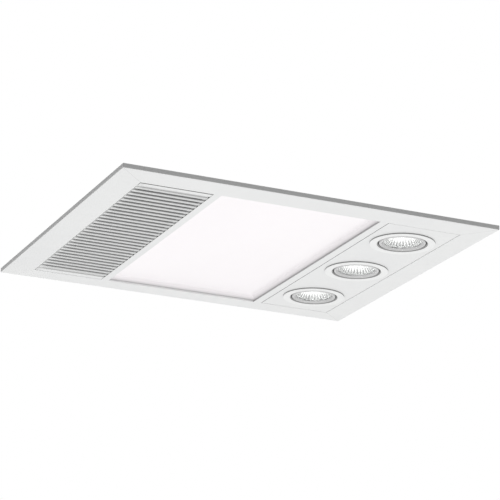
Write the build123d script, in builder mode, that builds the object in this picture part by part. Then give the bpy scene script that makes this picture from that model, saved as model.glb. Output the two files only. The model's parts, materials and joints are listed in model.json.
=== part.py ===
"""Bathroom ceiling unit with a fan heater, a light panel, three downlights and a ducted fan.

The origin is the middle of the ceiling plane. +X runs towards the downlights, +Y towards the
duct and +Z up into the ceiling space. All lengths are in millimetres.
"""

import os
from math import atan2, cos, degrees, radians, sin, sqrt

from build123d import *

os.makedirs("parts", exist_ok=True)

# Fascia
fascia_length = 500.0
fascia_width = 460.0
edge_height = 5.7
rim_width = 35.0
rim_drop = 1.4
fascia_wall = 2.0
fascia_edge_radius = 0.5
back_land = 8.0
edge_tolerance = 0.05

# Bays in the fascia, counted from the heater end: the light panel takes what the others leave
bay_land = 0.5
bay_end_land = 1.0
grille_bay = 94.5
left_bar = 10.0
right_bar = 11.0
lamp_bay = 100.5

# Inserts, fitted from behind and clamped on the bars
insert_gap = 0.8
flange_reach = 3.0
flange_thickness = 2.0
rib_gap = 0.25
hook_count = 4
hook_length = 14.0
hook_thickness = 1.2
hook_gap = 0.2

# Louvred grille
slot_pitch = 12.0
slot_width = 6.0
slot_end_land = 20.0
slat_radius = 0.6
blind_depth = 1.2
finger_gap = 2.0
fin_thickness = 1.8
fin_lean = 5.0
fin_depth = 10.0
rail_thickness = 2.0
rail_set_in = 2.5

# Light panel
panel_recess = 8.0
panel_flare = 5.0
panel_step = 0.5
diffuser_wall = 1.6
diffuser_radius = 2.5
dish_skirt = 1.2
tray_sheet = 0.8
tray_side_gap = 0.3
tray_height = 33.0
tray_flange_stop = 16.0
tray_flange_land = 1.5
led_row_count = 3
led_board_width = 14.0
led_board_inset = 24.0
led_board_thickness = 1.6
led_count = 10
led_size = 3.5
led_height = 0.9
driver_length = 112.0
driver_width = 46.0
driver_height = 24.0
driver_offset = -36.5
driver_inset = 54.0
driver_radius = 2.0
driver_foot = 10.0
driver_foot_sheet = 2.0
driver_foot_hole = 2.0

# Downlights
lamp_spread = 2.4
lamp_offset = 1.0
trim_radius = 41.65
trim_proud = 1.7
trim_edge = 0.5
trim_bore_radius = 31.0
trim_sleeve = 2.0
trim_sleeve_height = 5.5
pin_fit = 0.02
pin_inner_end = 27.0
pin_end_gap = 0.2
plate_bore_gap = 0.5
collar_width = 2.5
pivot_height = 2.6
gimbal_gap = 1.0
gimbal_top = 5.5
gimbal_land = 0.9
ball_steps = 4
lamp_radius = 25.0
lamp_gap = 0.4
lamp_front = -0.5
lamp_rim_height = 3.4
lamp_length = 46.5
lamp_seat_width = 1.9
seat_gap = 0.1
bowl_wall = 1.6
bowl_rings = 5
bowl_floor = 2.0
lens_gap = 0.1
lens_radius = 23.9
lens_thickness = 1.6
lens_dome = 0.6
lens_flat_radius = 20.0
lamp_neck_radius = 11.5
lamp_base_height = 12.0
lamp_pin_radius = 2.4
lamp_pin_spacing = 10.0
lamp_pin_length = 5.0
capsule_radius = 4.4
capsule_length = 20.0
capsule_seat = 4.0
holder_radius = 14.0
holder_height = 20.0
holder_face = 6.0
holder_pin_gap = 0.2
holder_chamfer = 2.0
holder_slot = 5.0
clip_wire_radius = 0.5
wire_sides = 8
clip_open_angle = 24.0
clip_ear_length = 2.4
clip_lens_gap = 0.1
clip_inset = 0.1
tilt_pin_radius = 1.2
running_gap = 0.05
spring_width = 10.0
spring_sheet = 0.6
spring_gap = 0.1
spring_rise = 4.0
spring_reach = 14.0
spring_toe = 2.0
spring_lift = 0.1

# Housing above the ceiling
fascia_overhang = 31.0
box_height = 192.0
box_sheet = 1.0
box_flange = 19.0
fixing_inset = 49.0
fixing_radius = 2.5
flange_corner_radius = 6.0
leaf_width = 4.5
leaf_sheet = 0.5
leaf_wall_gap = 0.6
leaf_foot = 13.0
leaf_height = 26.0
leaf_bump = 2.4
leaf_bump_z = 18.0
leaf_bump_rise = 6.0
leaf_slot_width = 12.0
leaf_slot_height = 12.0

# Blower
blower_offset = 18.5
blower_y = -40.0
scroll_base = 74.0
scroll_sheet = 1.0
scroll_radius = 84.0
scroll_step = 13.0
tongue_angle = 60.0
inlet_radius = 58.0
inlet_flare = 9.0
wheel_radius = 75.0
wheel_bore = 60.0
wheel_top_gap = 4.0
wheel_blades = 36
blade_thickness = 1.2
wheel_sheet = 1.5
hub_radius = 14.0
hub_height = 22.0
shaft_radius = 4.0
motor_radius = 42.0
motor_height = 33.0
motor_flange_radius = 52.0
motor_flange_sheet = 2.0
motor_screw_circle = 47.0
motor_screw_radius = 2.0
motor_screw_depth = 4.0
motor_boss_radius = 12.0
motor_boss_height = 3.0
motor_roof_gap = 3.0
motor_fit = 0.05
motor_bore_depth = 24.5
shaft_hole = 10.0
shaft_tail = 2.0
blade_inset = 1.0
blade_bend = 1.0
blade_sweep = 6.5
wheel_base = 85.0
wheel_ring = 3.0
inlet_land = 0.5
hub_fit = 0.02
hanger_width = 18.0
hanger_sheet = 1.2
hanger_foot = 14.0
hanger_out = 55.0
capacitor_y = -88.0
capacitor_size = (40.0, 20.0, 28.0)
capacitor_radius = 2.0

# Duct spigot and backdraft flap
spigot_radius = 74.0
spigot_wall = 1.2
spigot_length = 70.0
spigot_plate = 156.0
spigot_drop = 9.0
rivet_radius = 1.6
rivet_head_radius = 3.2
rivet_head_height = 1.0
rivet_tail = 1.2
rivet_tail_radius = 2.4
rivet_inset = 9.0
mouth_reach = 4.0
mouth_gap = 0.5
flap_sheet = 0.8
flap_seat_gap = 0.3
flap_overlap = 3.0
flap_barrel_radius = 2.4
flap_pin_radius = 1.5
flap_pin_above_mouth = 3.4
flap_pin_set_back = 0.8
flap_ear_inset = 4.0
flap_ear_width = 2.0
flap_ear_height = 4.0
flap_ear_gap = 0.5

# Fan heater above the grille
casing_length = 220.0
casing_inset = 18.0
casing_sheet = 1.0
casing_base = 7.0
outlet_width = 80.0
rotor_offset = 1.25
rotor_radius = 30.0
rotor_bore = 24.0
rotor_height = 108.0
rotor_blades = 24
rotor_blade_thickness = 0.8
rotor_end_gap = 3.0
rotor_disc = 2.0
guide_knee = -28.0
guide_middle = (-31.0, 17.0)
guide_end = (16.0, 33.0)
tongue_foot = -46.0
tongue_tip = (24.0, -24.0)
end_plate_margin = 3.0
end_plate_radius = 8.0
casing_tab_height = 30.0
casing_tab_foot = 12.0
heater_shaft_radius = 3.0
heater_shaft_hole = 5.0
heater_shaft_reach = 18.0
bearing_shaft_reach = 6.0
heater_motor_radius = 26.0
heater_motor_length = 30.0
bearing_radius = 8.0
bearing_length = 9.0
ptc_base = 24.0
ptc_height = 22.0
ptc_rows = 3
ptc_bar_width = 6.0
ptc_fin_pitch = 6.0
ptc_fin_thickness = 0.8
ptc_holder_length = 6.0
ptc_side_gap = 0.6
cutout_radius = 8.5
cutout_height = 7.0
cutout_start = 100.0
cutout_z = 40.0
cutout_tab = 0.8

# Mains connection
terminal_inset = 57.0
terminal_z = 142.0
terminal_size = (52.0, 24.0, 20.0)
terminal_ways = 4
terminal_screw_radius = 2.5
terminal_screw_depth = 6.0
cover_z = 128.0
cover_size = (76.0, 62.0, 44.0)
cover_sheet = 1.2
cover_flange = 9.0
gland_bore_radius = 4.5
gland_thread_radius = 8.0
gland_hex = 20.0
gland_hex_length = 6.0
gland_dome_radius = 9.0
gland_dome_length = 12.0
gland_inside = 9.0
gland_nut_thickness = 4.0
gland_z = 114.0
gland_fit = 0.1

# Screws that clamp the inserts to the bars
screw_radius = 1.1
screw_head_ratio = 2.2
screw_head_rise = 1.5
screw_hole_gap = 0.05
screw_sheet_gap = 0.15
screw_depth = 3.2
screw_count = 5
screw_end = 34.0

# Levels and lines that follow from the sizes above
face_length = fascia_length - 2 * rim_width
face_width = fascia_width - 2 * rim_width
face_z = -(edge_height + rim_drop)
face_back = face_z + fascia_wall
flange_top = face_back + flange_thickness
bay_width = face_width - 2 * bay_end_land
grille_x0 = -face_length / 2 + bay_land
grille_x1 = grille_x0 + grille_bay
lamp_x1 = face_length / 2 - bay_land
lamp_x0 = lamp_x1 - lamp_bay
panel_x0 = grille_x1 + left_bar
panel_x1 = lamp_x0 - right_bar
panel_bay = panel_x1 - panel_x0
grille_x = (grille_x0 + grille_x1) / 2
panel_x = (panel_x0 + panel_x1) / 2
lamp_bay_x = (lamp_x0 + lamp_x1) / 2
bars = [((grille_x1 + panel_x0) / 2, left_bar), ((panel_x1 + lamp_x0) / 2, right_bar)]
bar_lines = [bar_x for bar_x, bar_width in bars]
screw_spacing = (bay_width - 2 * screw_end) / (screw_count - 1)
box_length = fascia_length - 2 * fascia_overhang
box_width = fascia_width - 2 * fascia_overhang
box_inside_x = box_length / 2 - box_sheet
box_inside_y = box_width / 2 - box_sheet
box_inside_top = box_height - box_sheet
motor_base = box_inside_top - motor_roof_gap - motor_boss_height - motor_height
scroll_top = motor_base - motor_flange_sheet
scroll_height = scroll_top - scroll_base
leaf_foot_end = box_inside_y - leaf_wall_gap
clip_screw_y = leaf_foot_end - leaf_foot / 2


def write(block, name):
    """Label a finished piece and write it under its own name."""
    block.part.label = name
    export_step(block.part, f"parts/{name}.step")


def screw(radius, shank_length):
    """Add a cheese-head screw, head up, at each current location."""
    Cylinder(
        radius * screw_head_ratio,
        radius * screw_head_rise,
        align=(Align.CENTER, Align.CENTER, Align.MIN),
    )
    Cylinder(radius, shank_length, align=(Align.CENTER, Align.CENTER, Align.MAX))


# Fascia frame: a moulded tray with a rim that slopes down to a flat face with three bays
with BuildPart() as fascia_frame:
    with BuildSketch(Plane.XY):
        Rectangle(fascia_length, fascia_width)
    extrude(amount=face_z)
    front = fascia_frame.faces().sort_by(Axis.Z)[0]
    chamfer(front.edges(), length=rim_width, length2=rim_drop, reference=front)
    offset(amount=-fascia_wall, openings=fascia_frame.faces().sort_by(Axis.Z)[-1])
    rim_edges = fascia_frame.edges().filter_by_position(
        Axis.Z, -edge_height - edge_tolerance, -edge_height + edge_tolerance
    )
    fillet(rim_edges.filter_by(lambda edge: edge.length > fascia_width - 1), fascia_edge_radius)

    # The back is flat where the flanges of the inserts lie
    with BuildSketch(Plane.XY.offset(face_back)):
        Rectangle(face_length + 2 * back_land, face_width + 2 * back_land)
    extrude(amount=fascia_wall, mode=Mode.SUBTRACT)

    # Three bays, one for each insert
    with BuildSketch(Plane.XY.offset(face_z)):
        with Locations((grille_x, 0)):
            Rectangle(grille_bay, bay_width)
        with Locations((panel_x, 0)):
            Rectangle(panel_bay, bay_width)
        with Locations((lamp_bay_x, 0)):
            Rectangle(lamp_bay, bay_width)
    extrude(amount=fascia_wall, mode=Mode.SUBTRACT)

    # A rib along the back of each bar, between the flanges of its two inserts
    for bar_x, bar_width in bars:
        with BuildSketch(Plane.XY.offset(face_back)):
            with Locations((bar_x, 0)):
                Rectangle(bar_width - 2 * (flange_reach + rib_gap), bay_width)
        extrude(amount=flange_thickness)

    # Hooks that hold the outer flanges of the grille and of the lamp plate
    hook_post = hook_thickness
    for side, flange_edge in ((-1, grille_x0 - flange_reach), (1, lamp_x1 + flange_reach)):
        post_x = flange_edge + side * (hook_gap + hook_post / 2)
        lip_x = flange_edge + side * (hook_gap + hook_post) - side * (hook_post + flange_reach) / 2
        with BuildSketch(Plane.XY.offset(face_back)):
            with Locations((post_x, 0)):
                with GridLocations(0, bay_width / hook_count, 1, hook_count):
                    Rectangle(hook_post, hook_length)
        extrude(amount=flange_thickness + hook_gap + hook_thickness)
        with BuildSketch(Plane.XY.offset(flange_top + hook_gap)):
            with Locations((lip_x, 0)):
                with GridLocations(0, bay_width / hook_count, 1, hook_count):
                    Rectangle(hook_post + flange_reach, hook_length)
        extrude(amount=hook_thickness)

    # Pilot holes for the clamp screws and for the screws of the leaf clips
    with BuildSketch(Plane.XY.offset(flange_top)):
        for bar_x in bar_lines:
            with Locations((bar_x, 0)):
                with GridLocations(0, screw_spacing, 1, screw_count):
                    Circle(screw_radius + screw_hole_gap)
                with Locations((0, clip_screw_y), (0, -clip_screw_y)):
                    Circle(screw_radius + screw_hole_gap)
    extrude(amount=-(screw_depth + screw_hole_gap), mode=Mode.SUBTRACT)
write(fascia_frame, "fascia_frame")

# Heater grille: slats flush with the fascia, carried on a flange behind it
field_length = grille_bay - 2 * insert_gap
slot_count = int((bay_width - 2 * slot_end_land) / slot_pitch)
field_y0 = -bay_width / 2 + finger_gap
field_y1 = bay_width / 2 - insert_gap
window_length = field_length - 2 * rail_set_in
window_width = slot_pitch * slot_count
fin_top = flange_top + fin_depth
with BuildPart() as heater_grille:
    with BuildSketch(Plane.XY.offset(face_z)):
        with Locations((grille_x, (field_y0 + field_y1) / 2)):
            Rectangle(field_length, field_y1 - field_y0)
    extrude(amount=fascia_wall)

    # Slots run the full length of the slats, with a blind groove beyond each end slot
    with BuildSketch(Plane.XY.offset(face_z)):
        with Locations((grille_x, 0)):
            with GridLocations(0, slot_pitch, 1, slot_count):
                Rectangle(field_length, slot_width)
    extrude(amount=fascia_wall, mode=Mode.SUBTRACT)
    with BuildSketch(Plane.XY.offset(face_z)):
        with Locations((grille_x, 0)):
            with GridLocations(0, slot_pitch * (slot_count + 1), 1, 2):
                Rectangle(field_length, slot_width)
    extrude(amount=blind_depth, mode=Mode.SUBTRACT)
    slat_edges = heater_grille.edges().filter_by(Axis.X).filter_by_position(Axis.Z, face_z, face_z)
    fillet(slat_edges, slat_radius)

    # Flange behind the fascia, open over the slots, with deep rails round the window
    with BuildSketch(Plane.XY.offset(face_back)):
        with Locations((grille_x, 0)):
            Rectangle(grille_bay + 2 * flange_reach, bay_width + 2 * flange_reach)
            Rectangle(window_length, window_width, mode=Mode.SUBTRACT)
    extrude(amount=flange_thickness)
    with BuildSketch(Plane.XY.offset(flange_top)):
        with Locations((grille_x, 0)):
            Rectangle(window_length + 2 * rail_thickness, window_width + 2 * rail_thickness)
            Rectangle(window_length, window_width, mode=Mode.SUBTRACT)
    extrude(amount=fin_depth)

    # Leaning fins behind the slats turn the air, and two ribs tie them together
    fin_y0 = -slot_pitch * (slot_count - 2) / 2
    with BuildSketch(Plane.YZ.offset(grille_x - window_length / 2)):
        for i in range(slot_count - 1):
            fin_y = fin_y0 + slot_pitch * i - fin_thickness / 2
            with BuildLine():
                Polyline(
                    (fin_y, face_back),
                    (fin_y + fin_thickness, face_back),
                    (fin_y + fin_thickness + fin_lean, fin_top),
                    (fin_y + fin_lean, fin_top),
                    close=True,
                )
            make_face()
    extrude(amount=window_length)
    with BuildSketch(Plane.XY.offset(flange_top)):
        with Locations((grille_x, 0)):
            with GridLocations(window_length / 3, 0, 2, 1):
                Rectangle(rail_thickness, window_width)
    extrude(amount=fin_depth)
write(heater_grille, "heater_grille")

# Light diffuser: an opal dish whose flat floor is set back from the face, with flared sides
dish_depth = panel_recess - fascia_wall
dish_height = dish_depth + diffuser_wall
dish_slope = dish_height - dish_skirt
dish_side = panel_step + diffuser_wall
with BuildPart() as light_diffuser:
    with BuildSketch(Plane.XY.offset(face_back)):
        with Locations((panel_x, 0)):
            Rectangle(panel_bay + 2 * dish_side, bay_width + 2 * dish_side)
    extrude(amount=dish_height)
    roof = light_diffuser.faces().sort_by(Axis.Z)[-1]
    chamfer(roof.edges(), length=panel_flare, length2=dish_slope, reference=roof)
    offset(amount=-diffuser_wall, openings=light_diffuser.faces().sort_by(Axis.Z)[0])
    floor_z = face_back + dish_depth
    floor_edges = light_diffuser.edges().filter_by_position(
        Axis.Z, floor_z - edge_tolerance, floor_z + edge_tolerance
    )
    fillet(floor_edges, diffuser_radius)
    with BuildSketch(Plane.XY.offset(face_back)):
        with Locations((panel_x, 0)):
            Rectangle(panel_bay + 2 * flange_reach, bay_width + 2 * flange_reach)
            Rectangle(panel_bay + 2 * panel_step, bay_width + 2 * panel_step, mode=Mode.SUBTRACT)
    extrude(amount=flange_thickness)
write(light_diffuser, "light_diffuser")

# Light tray: a folded steel box over the diffuser, with a flange along each bar
dish_out = dish_side - panel_flare * (flange_thickness - dish_skirt) / dish_slope
tray_out = dish_out + tray_side_gap
tray_top = flange_top + tray_height
tray_flange_y = bay_width - 2 * tray_flange_stop
with BuildPart() as light_tray:
    with BuildSketch(Plane.XY.offset(flange_top)):
        with Locations((panel_x, 0)):
            Rectangle(
                panel_bay + 2 * (tray_out + tray_sheet), bay_width + 2 * (tray_out + tray_sheet)
            )
    extrude(amount=tray_height)
    offset(amount=-tray_sheet, openings=light_tray.faces().sort_by(Axis.Z)[0])
    with BuildSketch(Plane.XY.offset(flange_top)):
        for start_x, end_x in (
            (grille_x1 + tray_flange_land, panel_x0 - tray_out),
            (panel_x1 + tray_out, lamp_x0 - tray_flange_land),
        ):
            with Locations(((start_x + end_x) / 2, 0)):
                Rectangle(end_x - start_x, tray_flange_y)
        for bar_x in bar_lines:
            with Locations((bar_x, 0)):
                with GridLocations(0, screw_spacing, 1, screw_count):
                    Circle(screw_radius + screw_sheet_gap, mode=Mode.SUBTRACT)
    extrude(amount=tray_sheet)
write(light_tray, "light_tray")

# LED boards: strips with a row of emitters, fixed under the tray's roof
led_z = tray_top - tray_sheet
led_row_spacing = panel_bay / led_row_count - led_board_width / led_row_count
led_board_length = bay_width - 2 * led_board_inset
led_pitch = led_board_length / led_count
with BuildPart() as led_boards:
    with BuildSketch(Plane.XY.offset(led_z)):
        with Locations((panel_x, 0)):
            with GridLocations(led_row_spacing, 0, led_row_count, 1):
                Rectangle(led_board_width, led_board_length)
    extrude(amount=-led_board_thickness)
    with BuildSketch(Plane.XY.offset(led_z - led_board_thickness)):
        with Locations((panel_x, 0)):
            with GridLocations(led_row_spacing, led_pitch, led_row_count, led_count):
                Rectangle(led_size, led_size)
    extrude(amount=-led_height)
write(led_boards, "led_boards")

# LED driver: a moulded case with a fixing foot at each end, on top of the tray
driver_x = panel_x + driver_offset
driver_y = driver_inset - bay_width / 2
with BuildPart() as led_driver:
    with BuildSketch(Plane.XY.offset(tray_top)):
        with Locations((driver_x, driver_y)):
            Rectangle(driver_length, driver_width)
    extrude(amount=driver_height)
    fillet(led_driver.faces().sort_by(Axis.Z)[-1].edges(), driver_radius)
    with BuildSketch(Plane.XY.offset(tray_top)):
        with Locations((driver_x, driver_y)):
            Rectangle(driver_length + 2 * driver_foot, driver_width)
            with GridLocations(driver_length + driver_foot, driver_width / 2, 2, 2):
                Circle(driver_foot_hole, mode=Mode.SUBTRACT)
    extrude(amount=driver_foot_sheet)
write(led_driver, "led_driver")

# Lamp plate: flush plate with three collared holes, clamped like the other inserts
lamp_x = lamp_bay_x + lamp_offset
lamp_spacing = bay_width / 3 + lamp_spread
lamp_centres = [(lamp_x, lamp_spacing * i) for i in (-1, 0, 1)]
sleeve_radius = trim_bore_radius + trim_sleeve
plate_bore = sleeve_radius + plate_bore_gap
with BuildPart() as lamp_plate:
    with BuildSketch(Plane.XY.offset(face_z)):
        with Locations((lamp_bay_x, 0)):
            Rectangle(lamp_bay - 2 * insert_gap, bay_width - 2 * insert_gap)
    extrude(amount=fascia_wall)
    with BuildSketch(Plane.XY.offset(face_back)):
        with Locations((lamp_bay_x, 0)):
            Rectangle(lamp_bay + 2 * flange_reach, bay_width + 2 * flange_reach)
            Rectangle(
                lamp_bay - 2 * flange_reach, bay_width - 2 * flange_reach, mode=Mode.SUBTRACT
            )
        with Locations(*lamp_centres):
            Circle(plate_bore + collar_width)
    extrude(amount=flange_thickness)
    with BuildSketch(Plane.XY.offset(face_z)):
        with Locations(*lamp_centres):
            Circle(plate_bore)
    extrude(amount=fascia_wall + flange_thickness, mode=Mode.SUBTRACT)
write(lamp_plate, "lamp_plate")

# Screws along the bars clamp the tray and the flanges, and one more holds each leaf clip
with BuildPart() as fascia_screws:
    for bar_x in bar_lines:
        with Locations((bar_x, 0, flange_top + tray_sheet)):
            with GridLocations(0, screw_spacing, 1, screw_count):
                screw(screw_radius, tray_sheet + screw_depth)
        with Locations((bar_x, clip_screw_y, flange_top + leaf_sheet)):
            screw(screw_radius, leaf_sheet + screw_depth)
        with Locations((bar_x, -clip_screw_y, flange_top + leaf_sheet)):
            screw(screw_radius, leaf_sheet + screw_depth)
write(fascia_screws, "fascia_screws")

# Leaf clips: spring strips screwed to the bars' ends that snap into slots in the housing
leaf_line = leaf_foot_end - leaf_sheet / 2
leaf_foot_z = flange_top + leaf_sheet / 2
with BuildPart() as fascia_clips:
    for bar_x in bar_lines:
        with BuildSketch(Plane.YZ.offset(bar_x - leaf_width / 2)):
            with BuildLine():
                Polyline(
                    (leaf_foot_end - leaf_foot, leaf_foot_z),
                    (leaf_line, leaf_foot_z),
                    (leaf_line, leaf_bump_z - leaf_bump_rise),
                    (leaf_line + leaf_bump, leaf_bump_z),
                    (leaf_line, leaf_bump_z + leaf_bump_rise),
                    (leaf_line - leaf_bump, leaf_height),
                )
            trace(line_width=leaf_sheet)
        extrude(amount=leaf_width)
        with BuildSketch(Plane.XY.offset(flange_top)):
            with Locations((bar_x, clip_screw_y)):
                Circle(screw_radius + screw_sheet_gap)
        extrude(amount=leaf_sheet, mode=Mode.SUBTRACT)
    mirror(about=Plane.XZ)
write(fascia_clips, "fascia_clips")


def lamp_section(centre):
    """Upright plane through one lamp, its origin where the tilt axis crosses the lamp's axis."""
    return Plane(origin=(*centre, pivot_z), x_dir=(1, 0, 0), z_dir=(0, -1, 0))


def lamp_axis(centre):
    return Axis((*centre, pivot_z), (0, 0, 1))


# Downlights: a fixed trim, and a tilting ring that carries the lamp on two pins
pivot_z = face_z + pivot_height
trim_face = -pivot_height - trim_proud
trim_back = -pivot_height
gimbal_radius = trim_bore_radius - gimbal_gap
gimbal_front_radius = sqrt(gimbal_radius**2 - trim_face**2)
lamp_bore = lamp_radius + lamp_gap
clip_z = lamp_front - clip_wire_radius - clip_lens_gap
clip_circle = lamp_bore - clip_inset
lamp_rim_top = lamp_front + lamp_rim_height
lamp_seat_radius = lamp_radius - lamp_seat_width
lamp_top = lamp_front + lamp_length
base_bottom = lamp_top - lamp_base_height


def make_trim(number, centre):
    """Pressed trim ring: a face with eased edges, proud of the plate, and a short sleeve."""
    with BuildPart() as trim_ring:
        with BuildSketch(lamp_section(centre)):
            with BuildLine():
                Polyline(
                    (trim_bore_radius, trim_face),
                    (trim_radius, trim_face),
                    (trim_radius, trim_back),
                    (sleeve_radius, trim_back),
                    (sleeve_radius, trim_back + trim_sleeve_height),
                    (trim_bore_radius, trim_back + trim_sleeve_height),
                    close=True,
                )
            section = make_face()
            chamfer(section.vertices().group_by(Axis.Z)[0], trim_edge)
        revolve(axis=lamp_axis(centre))
        with BuildSketch(Plane.YZ.offset(lamp_x - trim_radius)):
            with Locations((centre[1], pivot_z)):
                Circle(tilt_pin_radius + pin_fit)
        extrude(amount=2 * trim_radius, mode=Mode.SUBTRACT)
    write(trim_ring, f"trim_ring_{number}")


def make_gimbal(number, centre):
    """Tilting ring: a slice of a ball outside, a cone in front and a stepped bore for the lamp."""
    ball_step = (gimbal_top - trim_face) / ball_steps
    ball_heights = [trim_face + ball_step * i for i in range(ball_steps + 1)]
    ball_line = [(sqrt(gimbal_radius**2 - height**2), height) for height in ball_heights]
    with BuildPart() as gimbal_ring:
        with BuildSketch(lamp_section(centre)):
            with BuildLine():
                Polyline(
                    *ball_line,
                    (lamp_seat_radius + lamp_gap, gimbal_top),
                    (lamp_seat_radius + lamp_gap, lamp_rim_top + seat_gap),
                    (lamp_bore, lamp_rim_top + seat_gap),
                    (lamp_bore, clip_z + 2 * clip_wire_radius),
                    (lamp_bore + clip_wire_radius, clip_z + 2 * clip_wire_radius),
                    (lamp_bore + clip_wire_radius, clip_z - clip_wire_radius - clip_lens_gap),
                    (lamp_bore, clip_z - clip_wire_radius - clip_lens_gap),
                    (gimbal_front_radius - gimbal_land, trim_face),
                    close=True,
                )
            make_face()
        revolve(axis=lamp_axis(centre))
        with BuildSketch(Plane.YZ.offset(lamp_x - gimbal_radius)):
            with Locations((centre[1], pivot_z)):
                Circle(tilt_pin_radius + running_gap)
        extrude(amount=gimbal_radius - pin_inner_end + pin_end_gap, mode=Mode.SUBTRACT)
        with BuildSketch(Plane.YZ.offset(lamp_x + pin_inner_end - pin_end_gap)):
            with Locations((centre[1], pivot_z)):
                Circle(tilt_pin_radius + running_gap)
        extrude(amount=gimbal_radius - pin_inner_end + pin_end_gap, mode=Mode.SUBTRACT)
    write(gimbal_ring, f"gimbal_ring_{number}")


def make_lamp_clip(number, centre):
    """Round wire clip in the ring's groove, open on the far side, with its two ends turned in."""
    half_open = clip_open_angle / 2
    start = Plane(
        origin=(*centre, pivot_z),
        x_dir=(cos(radians(90 + half_open)), sin(radians(90 + half_open)), 0),
        z_dir=(sin(radians(90 + half_open)), -cos(radians(90 + half_open)), 0),
    )
    with BuildPart() as lamp_clip:
        with BuildSketch(start):
            with Locations((clip_circle, clip_z)):
                RegularPolygon(clip_wire_radius, wire_sides)
        revolve(axis=lamp_axis(centre), revolution_arc=360 - clip_open_angle)
        for side in (-1, 1):
            angle = radians(90 + side * half_open)
            across = (cos(angle), sin(angle), 0)
            ear_start = (
                centre[0] + clip_circle * across[0],
                centre[1] + clip_circle * across[1],
                pivot_z + clip_z,
            )
            with BuildSketch(Plane(origin=ear_start, z_dir=across)):
                RegularPolygon(clip_wire_radius, wire_sides)
            extrude(amount=-clip_ear_length)
    write(lamp_clip, f"lamp_clip_{number}")


def bowl_line(start_radius, start_height, end_radius, end_height):
    """Rings of a facetted bowl on a parabola, as (radius, height) from one end to the other."""
    line = []
    for i in range(bowl_rings + 1):
        share = i / bowl_rings
        radius = sqrt(start_radius**2 + (end_radius**2 - start_radius**2) * share)
        line.append((radius, start_height + (end_height - start_height) * share))
    return line


def make_lamp(number, centre):
    """Reflector lamp: a glass bowl with a twist-lock base, a front lens and the capsule inside."""
    cavity_top = base_bottom - bowl_floor
    pocket_radius = capsule_radius + lens_gap
    mouth_radius = lamp_seat_radius - bowl_wall
    lens_back = lamp_front + lens_thickness
    with BuildPart() as lamp_reflector:
        with BuildSketch(lamp_section(centre)):
            with BuildLine():
                Polyline(
                    (lens_radius + lens_gap, lamp_front),
                    (lamp_radius, lamp_front),
                    (lamp_radius, lamp_rim_top),
                    *bowl_line(lamp_seat_radius, lamp_rim_top, lamp_neck_radius, base_bottom),
                    (lamp_neck_radius, lamp_top),
                    (0, lamp_top),
                    (0, base_bottom + capsule_seat),
                    (pocket_radius, base_bottom + capsule_seat),
                    *bowl_line(pocket_radius, cavity_top, mouth_radius, lens_back),
                    (lens_radius + lens_gap, lens_back),
                    close=True,
                )
            make_face()
        revolve(axis=lamp_axis(centre))
        with BuildSketch(Plane.XY.offset(pivot_z + lamp_top)):
            with Locations(centre):
                with GridLocations(lamp_pin_spacing, 0, 2, 1):
                    Circle(lamp_pin_radius)
        extrude(amount=lamp_pin_length)
    write(lamp_reflector, f"lamp_reflector_{number}")

    with BuildPart() as lamp_lens:
        with BuildSketch(lamp_section(centre)):
            with BuildLine():
                Polyline(
                    (0, lamp_front - lens_dome),
                    (0, lens_back),
                    (lens_radius, lens_back),
                    (lens_radius, lamp_front),
                    (lens_flat_radius, lamp_front - lens_dome),
                    close=True,
                )
            make_face()
        revolve(axis=lamp_axis(centre))
    write(lamp_lens, f"lamp_lens_{number}")

    capsule_top = base_bottom + capsule_seat
    with BuildPart() as lamp_capsule:
        with BuildSketch(lamp_section(centre)):
            with BuildLine():
                Polyline(
                    (0, capsule_top - capsule_length),
                    (0, capsule_top),
                    (capsule_radius, capsule_top),
                    (capsule_radius, capsule_top - capsule_length + capsule_radius / 2),
                    (capsule_radius / 2, capsule_top - capsule_length),
                    close=True,
                )
            make_face()
        revolve(axis=lamp_axis(centre))
    write(lamp_capsule, f"lamp_capsule_{number}")


def make_lampholder(number, centre):
    """Ceramic holder on the lamp's two pins, with a wire slot across its back."""
    holder_z = pivot_z + lamp_top
    with BuildPart() as lampholder:
        with BuildSketch(Plane.XY.offset(holder_z)):
            with Locations(centre):
                Circle(holder_radius)
                with GridLocations(lamp_pin_spacing, 0, 2, 1):
                    Circle(lamp_pin_radius + holder_pin_gap, mode=Mode.SUBTRACT)
        extrude(amount=holder_face)
        with BuildSketch(Plane.XY.offset(holder_z + holder_face)):
            with Locations(centre):
                Circle(holder_radius)
        extrude(amount=holder_height - holder_face)
        chamfer(lampholder.faces().sort_by(Axis.Z)[-1].edges(), holder_chamfer)
        with BuildSketch(Plane.XY.offset(holder_z + holder_height)):
            with Locations(centre):
                Rectangle(2 * holder_radius, holder_slot)
        extrude(amount=-holder_slot, mode=Mode.SUBTRACT)
    write(lampholder, f"lampholder_{number}")


for number, centre in enumerate(lamp_centres, start=1):
    make_trim(number, centre)
    make_gimbal(number, centre)
    make_lamp_clip(number, centre)
    make_lamp(number, centre)
    make_lampholder(number, centre)

# Tilt pins: fixed in the trims' sleeves, running in the tilting rings
with BuildPart() as tilt_pins:
    for side in (-1, 1):
        with BuildSketch(Plane.YZ.offset(lamp_x + side * pin_inner_end)):
            with Locations(*[(centre[1], pivot_z) for centre in lamp_centres]):
                Circle(tilt_pin_radius)
        extrude(amount=side * (sleeve_radius - pin_inner_end))
write(tilt_pins, "tilt_pins")

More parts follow.
